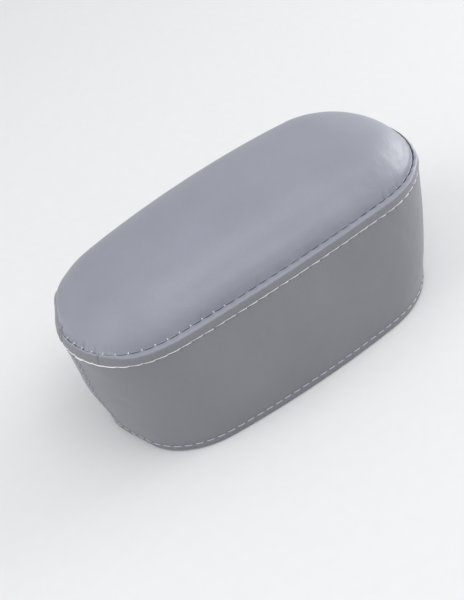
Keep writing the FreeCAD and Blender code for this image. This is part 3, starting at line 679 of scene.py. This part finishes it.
def surface_at(grid, row, where):
    """Point, outward normal and upward direction on a grid, at a turn round the pad."""
    i = (where % 1.0) * STATIONS
    a = int(i) % STATIONS
    b = (a + 1) % STATIONS
    place = grid[row, a] + (grid[row, b] - grid[row, a]) * (i - int(i))
    along = unit(grid[row, (a + 3) % STATIONS] - grid[row, a - 3])
    up = unit(grid[min(row + 1, len(grid) - 1), a] - grid[max(row - 1, 0), a])
    return place, unit(np.cross(along, up)), up


def thread_tube(path, radius, sides=10):
    """Three-ply thread along a path, rounded at both ends."""
    path = np.array(path)
    tangent = unit(np.gradient(path, axis=0))
    upright_path = abs(tangent[0][2]) >= 0.8
    reference = np.array([0.0, 1.0, 0.0] if upright_path else [0.0, 0.0, 1.0])
    travelled = np.concatenate([[0], np.cumsum(np.linalg.norm(np.diff(path, axis=0), axis=1))])
    verts = []
    angles = 2 * np.pi * np.arange(sides) / sides
    for k, point in enumerate(path):
        across = unit(np.cross(tangent[k], reference))
        upright = np.cross(across, tangent[k])
        near_end = min(travelled[k], travelled[-1] - travelled[k]) / radius
        taper = math.sqrt(max(0.08, 1 - max(0.0, 1 - near_end) ** 2))
        lobes = 1 + PLY_DEPTH * np.cos(3 * angles - travelled[k] / radius * PLY_TWIST)
        ring = column(np.cos(angles) * lobes) * across + column(np.sin(angles) * lobes) * upright
        verts.append(point + ring * radius * taper)
    faces = [face[::-1] for face in ring_faces(len(path), sides)]
    last = (len(path) - 1) * sides
    faces += [tuple(range(sides)), tuple(reversed(range(last, last + sides)))]
    return np.concatenate(verts), faces


def thread_object(name, paths, radius):
    verts, faces, base = [], [], 0
    for path in paths:
        points, own = thread_tube(path, radius)
        verts.append(points)
        faces.extend(tuple(base + i for i in face) for face in own)
        base += len(points)
    return mesh_object(name, np.concatenate(verts), faces)


def row_near(height):
    """Row of the strip's outside whose nose station is nearest a height on the wall."""
    rows = range(len(RIM_PROFILE), len(strip))
    return min(rows, key=lambda j: abs(strip[j, 0, 2] - height))


def on_strip(row, where, rise, lift):
    """Point that stands off the strip's outside by a rise, and up from a row by a lift."""
    place, normal, up = surface_at(strip, row, where)
    return place + normal * rise + up * lift


def running_stitches(count, row, radius, share, sink, slant, seed):
    """Stitches in line round the pad, each a share of its pitch and sunk in at both ends."""
    rng = np.random.default_rng(seed)
    paths = []
    for k in range(count):
        half = share / count / 2 * (1 + 0.03 * rng.standard_normal())
        tilt = slant * (1 + 0.4 * rng.standard_normal())
        shift = 0.05 * MM * rng.standard_normal()
        path = []
        for u in np.linspace(-1, 1, 15):
            rise = radius * 0.8 - sink * abs(u) ** 7
            path.append(on_strip(row, (k + 0.5) / count + u * half, rise, shift - u * tilt))
        paths.append(path)
    return paths


def seam_ticks():
    """Short stitches over the groove, which sink out of sight towards the rear end."""
    rng = np.random.default_rng(5)
    lip = int(np.argmax(strip[:, 0, 2])) + 2
    edge = len(TUCK_PROFILE) + 3
    paths = []
    for k in range(SEAM_STITCHES):
        where = k / SEAM_STITCHES
        low, low_normal, _ = surface_at(strip, lip, where)
        high, high_normal, _ = surface_at(crown, edge, where)
        high_normal = high_normal if high_normal @ low_normal > 0 else -high_normal
        outward = unit(low_normal + high_normal)
        hidden = max(ramp(low[0], SINK_X, SINK_X_SPAN), ramp(low[1], SINK_Y, SINK_Y_SPAN))
        height = 0.20 * MM + 0.04 * MM * rng.standard_normal()
        lean = np.array([0.12 * MM * rng.standard_normal(), 0, 0])
        start = low - np.array([0, 0, SINK_DEPTH * hidden])
        path = []
        for u in np.linspace(0, 1, 9):
            arch = height - 0.45 * MM * (2 * u - 1) ** 4
            path.append(start + (high - low) * u + lean * (u - 0.5) + outward * arch)
        paths.append(path)
    return paths


def nose_row():
    """Upright stitches beside the joint down the nose."""
    where = 1.6 * MM / FOOT.length
    paths = []
    for k in range(NOSE_STITCHES):
        path = []
        for u in np.linspace(-1, 1, 9):
            z = NOSE_SEAM_START + (k + 0.5) * NOSE_PITCH + u * NOSE_PITCH * 0.37
            place, normal, up = surface_at(strip, row_near(z), where)
            rise = (0.28 - 0.55 * abs(u) ** 4) * MM
            path.append(place + up * (z - place[2]) + normal * rise)
        paths.append(path)
    return paths


def back_tack():
    """Two short stitches sewn over the topstitching where it starts, by the nose."""
    row = row_near(SHOULDER_Z)
    start = float(np.argmin(abs(round_distance(SHOULDER, -118.7, -11.3)))) / STATIONS
    paths = []
    for shift, lift in BACK_TACKS:
        path = []
        for u in np.linspace(-1, 1, 11):
            where = start + (shift + u * 1.7) * MM / SHOULDER.length
            rise = (0.75 - 0.8 * abs(u) ** 6) * MM
            path.append(on_strip(row, where, rise, (lift + 0.1 * u) * MM))
        paths.append(path)
    return paths


top_paths = running_stitches(
    TOP_STITCHES, row_near(SHOULDER_Z), TOP_THREAD,
    share=1.14, sink=0.32 * MM, slant=0.30 * MM, seed=3,
)
hem_paths = running_stitches(
    HEM_STITCHES, row_near(HEM_Z), HEM_THREAD,
    share=0.68, sink=0.58 * MM, slant=0.08 * MM, seed=4,
)
topstitching = thread_object("topstitching", top_paths + back_tack(), TOP_THREAD)
hem_stitching = thread_object("hem_stitching", hem_paths, HEM_THREAD)
seam_stitching = thread_object("seam_stitching", seam_ticks(), SEAM_THREAD)
nose_stitching = thread_object("nose_stitching", nose_row(), SEAM_THREAD)


# ---- sheet under the pad ----

SHEET_INSET = 7.0 * MM
BOLT_X, BOLT_Y, BOLT_HOLE = 60.0 * MM, 22.0 * MM, 7.0 * MM
BOLTS = [(sx * BOLT_X, sy * BOLT_Y) for sx in (1, -1) for sy in (1, -1)]
# Stations to each point on the sheet's edge, and points round each of its holes.
SHEET_SKIP, HOLE_SIDES = 5, 36
# Points over the sheet, this many mm apart, keep clear of its edges and holes.
SHEET_STEP, SHEET_MARGIN = 3, 2 * MM
# They stay in an oval: half the length of its straight sides, and its radius.
SHEET_STRAIGHT, SHEET_ROUND = 50 * MM, 49 * MM
SHEET_Z, SHEET_SLACK = 0.28 * MM, 0.14 * MM


def from_bolt(x, y):
    return min(math.hypot(x - cx, y - cy) for cx, cy in BOLTS)


def sheet_mesh():
    """Non-woven sheet, a little slack between its staples, open at the bolts."""
    edge_normal = FOOT.normal[::SHEET_SKIP]
    edge = FOOT.xy[::SHEET_SKIP] - edge_normal * SHEET_INSET
    points = [tuple(p) for p in edge]
    loops = [list(range(len(points)))]
    angles = 2 * np.pi * np.arange(HOLE_SIDES) / HOLE_SIDES
    for cx, cy in BOLTS:
        first = len(points)
        points += [(cx + BOLT_HOLE * math.cos(a), cy + BOLT_HOLE * math.sin(a)) for a in angles]
        loops.append(list(range(first, len(points))))
    for x in np.arange(-99, 99, SHEET_STEP) * MM:
        for y in np.arange(-51, 52, SHEET_STEP) * MM:
            gap = np.hypot(edge[:, 0] - x, edge[:, 1] - y).min()
            inside = math.hypot(max(0, abs(x) - SHEET_STRAIGHT), y) < SHEET_ROUND
            if inside and gap > SHEET_MARGIN and from_bolt(x, y) > BOLT_HOLE + SHEET_MARGIN:
                points.append((x, y))
    border = [(loop[i], loop[(i + 1) % len(loop)]) for loop in loops for i in range(len(loop))]
    flat, _, faces, *_ = delaunay_2d_cdt([Vector(p) for p in points], border, [], 0, 1e-6)
    flat = np.array([tuple(p) for p in flat])

    def is_hole(face):
        centre = flat[list(face)].mean(axis=0)
        near = np.argmin(np.hypot(edge[:, 0] - centre[0], edge[:, 1] - centre[1]))
        outside = (centre - edge[near]) @ edge_normal[near] > 0.05 * MM
        return outside or from_bolt(*centre) < BOLT_HOLE * 0.995

    faces = [tuple(face) for face in faces if not is_hole(face)]
    slack = np.sin(flat[:, 0] / (11 * MM)) * np.sin(flat[:, 1] / (8 * MM) + flat[:, 0] / (25 * MM))
    return mesh_object("underside_sheet", np.c_[flat, SHEET_Z + SHEET_SLACK * slack], faces)


underside_sheet = sheet_mesh()


# ---- foam and wadding inside ----

INNER_SKIP = 5
FOAM_VOXEL = 3 * MM
FOAM_SCALE, FOAM_ROUGHNESS = 0.985, 0.002
WADDING_FOOT, WADDING_TOP, WADDING_FUZZ = 3.2 * MM, 74.9 * MM, 0.25 * MM
CROWN_WADDING_FLOOR = 83.3 * MM
# Depths of the waddings' outer and inner faces, and of the inner one where it is pressed.
SIDE_OUTER, SIDE_INNER, PRESSED_INNER = 2.2 * MM, 5.0 * MM, 4.8 * MM
TOP_OUTER, TOP_INNER = 2.1 * MM, 3.1 * MM


def cut_foam(name, node, seed):
    """Foam block in a node's space, a little smaller, with unevenly cut faces."""
    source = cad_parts[node]
    block = linked(name, source.data.copy())
    block.matrix_world = source.matrix_world
    remesh = block.modifiers.new("remesh", "REMESH")
    remesh.mode = "VOXEL"
    remesh.voxel_size = FOAM_VOXEL
    depsgraph = bpy.context.evaluated_depsgraph_get()
    found = bpy.data.meshes.new_from_object(block.evaluated_get(depsgraph))
    points = np.empty(len(found.vertices) * 3)
    found.vertices.foreach_get("co", points)
    points = points.reshape(-1, 3) @ np.array(source.matrix_world.to_3x3()).T
    points = points + np.array(source.matrix_world.translation)
    middle = (points.min(axis=0) + points.max(axis=0)) / 2
    rng = np.random.default_rng(seed)
    points = middle + (points - middle) * (
        FOAM_SCALE + FOAM_ROUGHNESS * rng.random((len(points), 1))
    )
    faces = [tuple(face.vertices) for face in found.polygons]
    bpy.data.objects.remove(block)
    return mesh_object(name, points, faces)


def wadding(name, rows, closed, seed):
    """Fibrous layer through a stack of rings: a closed band, or one with both ends capped."""
    rng = np.random.default_rng(seed)
    rows = np.array([row[::INNER_SKIP] for row in rows])
    rows = rows + (rng.random(rows.shape) - 0.5) * WADDING_FUZZ
    columns = rows.shape[1]
    faces = ring_faces(len(rows), columns, closed)
    if not closed:
        faces += [tuple(reversed(face)) for face in ladder_faces(0, columns)]
        faces += ladder_faces((len(rows) - 1) * columns, columns)
    return mesh_object(name, rows.reshape(-1, 3), faces)


def lining_ring(height, depth):
    """Ring at a depth inside the wall, pressed thin where the wall is slack."""
    pressed = depth - np.minimum(wall_fullness(height), 0.0)
    return wall_ring(height, -np.minimum(pressed, max(depth, PRESSED_INNER)))


def crown_ring(ratio, depth):
    """Ring at a depth inside the crown, no lower than the wadding's floor."""
    row = crown_row(ratio) - crown_normals(ratio) * depth
    row[:, 2] = np.maximum(row[:, 2], CROWN_WADDING_FLOOR)
    return row


foam_core = cut_foam("foam_block", "foam_core", 71)
foam_topper = cut_foam("foam_crown", "foam_topper", 72)
wadding_levels = np.linspace(WADDING_FOOT, WADDING_TOP, 24)
side_wadding = wadding(
    "side_wrap",
    [lining_ring(z, SIDE_OUTER) for z in wadding_levels]
    + [lining_ring(z, SIDE_INNER) for z in wadding_levels[::-1]],
    closed=True,
    seed=73,
)
crown_ratios = np.linspace(0.95, CROWN_MIDDLE, 24)
top_wadding = wadding(
    "crown_wrap",
    [crown_ring(ratio, TOP_INNER) for ratio in crown_ratios[::-1]]
    + [crown_ring(ratio, TOP_OUTER) for ratio in crown_ratios],
    closed=False,
    seed=74,
)


# ---- materials ----

# The strip has a painted highlight at the top of its band, where its rolled edge faces up, between
# these heights.
PAINTED_BAND_HIGHLIGHT = (SHOULDER_Z + 5.3 * MM, SHOULDER_Z + 6.1 * MM)
# One leathercloth in two copies: the top's greys lighter and bluer as painted light, the side's
# darker as painted shade.
TOP_LIT_GREYS = ((0.265, 0.272, 0.324), (0.331, 0.340, 0.404))
SIDE_SHADED_GREYS = ((0.193, 0.196, 0.217), (0.241, 0.244, 0.270))


class Finish:
    """Material whose Principled shader is fed by textures in object coordinates."""

    def __init__(self, name):
        self.material = bpy.data.materials.new(name)
        self.material.use_nodes = True
        self.nodes = self.material.node_tree.nodes
        self.links = self.material.node_tree.links
        self.shader = self.nodes["Principled BSDF"]
        self.coords = self.nodes.new("ShaderNodeTexCoord").outputs["Object"]

    def node(self, kind, inputs, **settings):
        """New node. Inputs given a socket are linked, and others take plain values."""
        node = self.nodes.new("ShaderNode" + kind)
        for name, value in settings.items():
            setattr(node, name, value)
        for socket, value in inputs.items():
            if isinstance(value, bpy.types.NodeSocket):
                self.links.new(value, node.inputs[socket])
            else:
                node.inputs[socket].default_value = value
        return node

    def noise(self, scale, detail=3, stretch=None):
        """Noise, finer along each axis by its part of the stretch, if any."""
        where = self.coords
        if stretch:
            where = self.node("Mapping", {"Vector": where, "Scale": stretch}).outputs["Vector"]
        inputs = {"Vector": where, "Scale": scale, "Detail": detail}
        return self.node("TexNoise", inputs).outputs["Fac"]

    def cells(self, scale, feature="F1"):
        inputs = {"Vector": self.coords, "Scale": scale}
        return self.node("TexVoronoi", inputs, feature=feature).outputs["Distance"]

    def bands(self, scale, direction, distortion):
        inputs = {"Vector": self.coords, "Scale": scale, "Distortion": distortion}
        return self.node("TexWave", inputs, bands_direction=direction).outputs["Fac"]

    def spread(self, value, low, high, start=0.0, end=1.0):
        """A value between start and end, laid out between low and high."""
        inputs = {"Value": value, "From Min": start, "From Max": end, "To Min": low, "To Max": high}
        return self.node("MapRange", inputs).outputs["Result"]

    def colour(self, value, dark, light):
        """Dark where a value is 0 and light where it is 1."""
        return self.mixed(value, (*dark, 1), (*light, 1))

    def mixed(self, share, first, second):
        """Share of the way from one colour to another."""
        inputs = {"Factor": share, 6: first, 7: second}
        return self.node("Mix", inputs, data_type="RGBA").outputs[2]

    def height(self, low, high):
        """0 below one height on the piece and 1 above another."""
        z = self.node("SeparateXYZ", {"Vector": self.coords}).outputs["Z"]
        return self.spread(z, 0.0, 1.0, low, high)

    def total(self, first, second, operation="ADD"):
        """Two values added, or joined by another operation."""
        return self.node("Math", {0: first, 1: second}, operation=operation).outputs[0]

    def dress(self, colour, rough, height, strength, distance, **fixed):
        """The material, with its shader fed. Names of fixed inputs have _ for each space."""
        bump = {"Height": height, "Strength": strength, "Distance": distance}
        normal = self.node("Bump", bump).outputs["Normal"]
        for socket, value in (("Base Color", colour), ("Roughness", rough), ("Normal", normal)):
            self.links.new(value, self.shader.inputs[socket])
        for socket, value in fixed.items():
            self.shader.inputs[socket.replace("_", " ")].default_value = value
        return self.material


def leather(name, dark, light, band_highlight_greys=None):
    """Embossed leathercloth: pebble grain, faint mottling, a painted highlight on ridges and
    painted shade in hollows, and a painted highlight along the band's top if greys for it are
    given.
    """
    look = Finish(name)
    pebble = look.cells(1500, "SMOOTH_F1")
    pores = look.noise(900, 4)
    mottle = look.noise(26, 4)
    ridge = look.node("NewGeometry", {}).outputs["Pointiness"]
    # Lighter on convex ridges and darker in hollows, by the surface's curvature: painted highlight
    # and painted shade.
    curvature_highlight_and_shade = look.spread(ridge, -0.25, 0.25, 0.44, 0.56)
    shade = look.total(look.total(mottle, curvature_highlight_and_shade), look.spread(pores, -0.12, 0.12))
    colour = look.colour(shade, dark, light)
    # Above those heights the side takes the top's lighter greys: a painted highlight on the band's
    # rolled edge.
    if band_highlight_greys:
        colour = look.mixed(look.height(*PAINTED_BAND_HIGHLIGHT), colour, look.colour(shade, *band_highlight_greys))
    rough = look.total(look.spread(pores, 0.33, 0.43), look.spread(mottle, -0.04, 0.04))
    grain = look.total(pebble, look.spread(pores, 0.0, 0.9))
    return look.dress(colour, rough, grain, 0.5, 0.0002, Specular_IOR_Level=0.45)


def thread(name, dark, light):
    """Bonded polyester thread with fine fibres."""
    look = Finish(name)
    fibre = look.noise(2600, 3)
    colour = look.colour(fibre, dark, light)
    rough = look.spread(fibre, 0.45, 0.65)
    return look.dress(colour, rough, fibre, 0.3, 0.0001, Sheen_Weight=0.2)


def plywood():
    look = Finish("plywood")
    rings = look.noise(60, 4, (0.35, 3.0, 3.0))
    pores = look.noise(900, 3, (0.05, 1.0, 1.0))
    plies = look.bands(90, "Z", 0.3)
    shade = look.total(look.total(rings, plies, "MULTIPLY"), look.spread(pores, 0.1, 0.35))
    colour = look.colour(shade, (0.33, 0.20, 0.10), (0.70, 0.52, 0.32))
    return look.dress(colour, look.spread(pores, 0.6, 0.85), pores, 0.4, 0.0002)


def metal(name, dark, light, roughness):
    look = Finish(name)
    colour = look.colour(look.cells(350), dark, light)
    scratch = look.noise(1200, 3, (1.0, 0.1, 1.0))
    rough = look.spread(scratch, roughness - 0.08, roughness + 0.12)
    return look.dress(colour, rough, scratch, 0.1, 0.00005, Metallic=1.0)


def card():
    look = Finish("card")
    fibre = look.noise(800, 5, (0.4, 1.0, 1.0))
    colour = look.colour(fibre, (0.30, 0.22, 0.14), (0.52, 0.41, 0.28))
    return look.dress(colour, look.spread(fibre, 0.75, 0.95), fibre, 0.3, 0.0001)


def woven(name, dark, light):
    """Narrow woven tape: two sets of ribs at right angles."""
    look = Finish(name)
    weave = look.total(look.bands(260, "Z", 0.2), look.bands(260, "X", 0.2), "MULTIPLY")
    shade = look.total(weave, look.spread(look.noise(300), -0.2, 0.2))
    colour = look.colour(shade, dark, light)
    return look.dress(colour, look.spread(weave, 0.7, 0.9), weave, 0.5, 0.0002)


def foam(name, dark, light, scale):
    look = Finish(name)
    cells = look.cells(scale)
    shade = look.total(cells, look.spread(look.noise(40), -0.2, 0.2))
    colour = look.colour(shade, dark, light)
    return look.dress(colour, look.spread(cells, 0.8, 1.0), cells, 0.7, 0.0006)


def fibre_wadding():
    look = Finish("wadding")
    fibre = look.noise(220, 6, (1.0, 1.0, 3.0))
    tuft = look.noise(60, 3)
    colour = look.colour(fibre, (0.62, 0.62, 0.60), (0.88, 0.88, 0.86))
    rough = look.spread(tuft, 0.85, 1.0)
    return look.dress(colour, rough, look.total(fibre, tuft), 0.6, 0.0008, Sheen_Weight=0.4)


def non_woven():
    """Spun-bonded sheet: loose fibres and rows of bonding points."""
    look = Finish("non_woven")
    fibre = look.noise(1400, 5, (0.5, 1.0, 1.0))
    points = look.spread(look.cells(620), 0.0, 1.0, 0.15, 0.4)
    shade = look.total(fibre, points, "MULTIPLY")
    colour = look.colour(shade, (0.012, 0.012, 0.014), (0.055, 0.055, 0.06))
    rough = look.spread(fibre, 0.7, 0.9)
    return look.dress(colour, rough, look.total(points, fibre), 0.4, 0.00015)


zinc = metal("zinc_steel", (0.50, 0.51, 0.53), (0.72, 0.73, 0.75), 0.38)
wire = metal("staple_wire", (0.45, 0.46, 0.48), (0.62, 0.63, 0.65), 0.30)
pale_thread = thread("pale_thread", (0.86, 0.86, 0.89), (0.97, 0.97, 0.99))
lilac_thread = thread("hem_thread", (0.46, 0.46, 0.56), (0.61, 0.61, 0.72))
# Lit and shaded copies of one leathercloth: painted light on the top, painted shade on the side.
top_leather = leather("leathercloth_top_painted_light", *TOP_LIT_GREYS)
side_leather = leather("leathercloth_side_painted_shade", *SIDE_SHADED_GREYS, TOP_LIT_GREYS)
firm_foam = foam("firm_foam", (0.48, 0.44, 0.30), (0.80, 0.76, 0.58), 900)
soft_foam = foam("soft_foam", (0.55, 0.55, 0.52), (0.86, 0.86, 0.82), 1100)
wadding_look = fibre_wadding()

# Piece, the node it stands for, the record's slot, its material, and its fill if it is padded.
PIECES = (
    (boxing_strip, "side_cover", "side_leather", side_leather, 0.95),
    (crown_panel, "top_cover", "top_leather", top_leather, 0.95),
    (topstitching, "topstitch_thread", "pale_thread", pale_thread, None),
    (seam_stitching, "seam_thread", "pale_thread", pale_thread, None),
    (hem_stitching, "hem_thread", "hem_thread", lilac_thread, None),
    (nose_stitching, "nose_seam_thread", "hem_thread", lilac_thread, None),
    (foam_core, "foam_core", "firm_foam", firm_foam, 1.0),
    (foam_topper, "foam_topper", "soft_foam", soft_foam, 1.0),
    (side_wadding, "side_wadding", "wadding", wadding_look, 0.9),
    (top_wadding, "top_wadding", "wadding", wadding_look, 0.9),
    (underside_sheet, "dust_cover", "non_woven", non_woven(), None),
)
for piece, node, slot, material, fill in PIECES:
    piece.data.materials.append(material)
    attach(piece, "root")
    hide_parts(node)

CARRIED = {
    "base_board": plywood(),
    "tee_nuts": zinc,
    "tack_strip": card(),
    "cover_staples": wire,
    "dust_cover_staples": wire,
    "seam_tape": woven("seam_tape", (0.30, 0.30, 0.31), (0.62, 0.62, 0.63)),
}
for node, material in CARRIED.items():
    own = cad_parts[node].data.materials
    own.clear()
    own.append(material)


# ---- stage ----

# The camera's angles in radians, distance in metres, and lens for a sensor 36 mm high.
YAW, PITCH, ROLL = 0.458, 0.665, 0.30
CAMERA_DISTANCE, CAMERA_TARGET = 0.738, Vector((0, 0, 0.0412))
LENS, SHIFT = 75.0, (-0.0375, -0.032333)


def make_camera():
    """Camera at the photo's viewing angle."""
    side = Vector((math.sin(YAW), math.cos(YAW), 0))
    upward = Vector((0, 0, 1))
    away = side * math.cos(PITCH) - upward * math.sin(PITCH)
    up = side * math.sin(PITCH) + upward * math.cos(PITCH)
    right = Vector((math.cos(YAW), -math.sin(YAW), 0))
    cam_x = right * math.cos(ROLL) - up * math.sin(ROLL)
    cam_y = right * math.sin(ROLL) + up * math.cos(ROLL)
    data = bpy.data.cameras.new("camera")
    data.sensor_width = 36.0
    data.lens = LENS
    data.shift_x, data.shift_y = SHIFT
    data.clip_start, data.clip_end = 0.05, 20
    obj = linked("camera", data)
    matrix = Matrix((cam_x, cam_y, -away)).transposed().to_4x4()
    matrix.translation = CAMERA_TARGET - away * CAMERA_DISTANCE
    obj.matrix_world = matrix
    bpy.context.scene.camera = obj


def area_light(name, place, size, power):
    """Rectangular softbox, aimed at the pad."""
    data = bpy.data.lights.new(name, "AREA")
    data.shape = "RECTANGLE"
    data.size, data.size_y = size
    data.energy = power
    obj = linked(name, data)
    obj.location = place
    direction = LIGHT_TARGET - Vector(place)
    obj.rotation_euler = direction.to_track_quat("-Z", "Y").to_euler()


LIGHT_TARGET = Vector((0, 0, 0.05))
# Softboxes: name, place, size in metres, power in watts.
SOFTBOXES = (
    ("front_top", (0.0, -0.65, 1.4), (0.8, 0.8), 3.7),
    ("right_top", (0.5, -0.5, 1.4), (0.8, 0.8), 2.1),
    ("left_front", (-0.9, -0.7, 1.1), (0.8, 0.8), 0.9),
    ("left_top", (-1.0, 0.1, 1.2), (0.8, 0.8), 3.4),
    ("left_low", (-1.5, 0.1, 0.5), (0.9, 0.8), 2.8),
    ("right_low", (1.5, -0.2, 0.5), (0.9, 0.8), 10.0),
    ("rear_glow", (1.6, 0.32, 0.13), (0.8, 0.4), 4.6),
)
FLOOR_REACH = 4.0
# The floor is a little under the pad, so that the staples' backs stand clear of it.
FLOOR_Z = -0.2 * MM
WORLD_COLOUR, WORLD_STRENGTH = (0.99, 1.0, 1.01, 1), 0.58


def make_floor():
    corners = ((-1, -1), (1, -1), (1, 1), (-1, 1))
    points = [(x * FLOOR_REACH, y * FLOOR_REACH, FLOOR_Z) for x, y in corners]
    floor = mesh_object("floor", points, [(0, 1, 2, 3)])
    look = Finish("floor_paper")
    grain = look.colour(look.noise(120, 3), (0.825, 0.835, 0.845), (0.855, 0.865, 0.875))
    look.links.new(grain, look.shader.inputs["Base Color"])
    look.shader.inputs["Roughness"].default_value = 0.9
    floor.data.materials.append(look.material)


def make_world():
    world = bpy.data.worlds.new("studio")
    world.use_nodes = True
    background = world.node_tree.nodes["Background"]
    background.inputs["Color"].default_value = WORLD_COLOUR
    background.inputs["Strength"].default_value = WORLD_STRENGTH
    bpy.context.scene.world = world


make_camera()
make_floor()
make_world()
for softbox in SOFTBOXES:
    area_light(*softbox)
bpy.context.scene.view_settings.view_transform = "Standard"
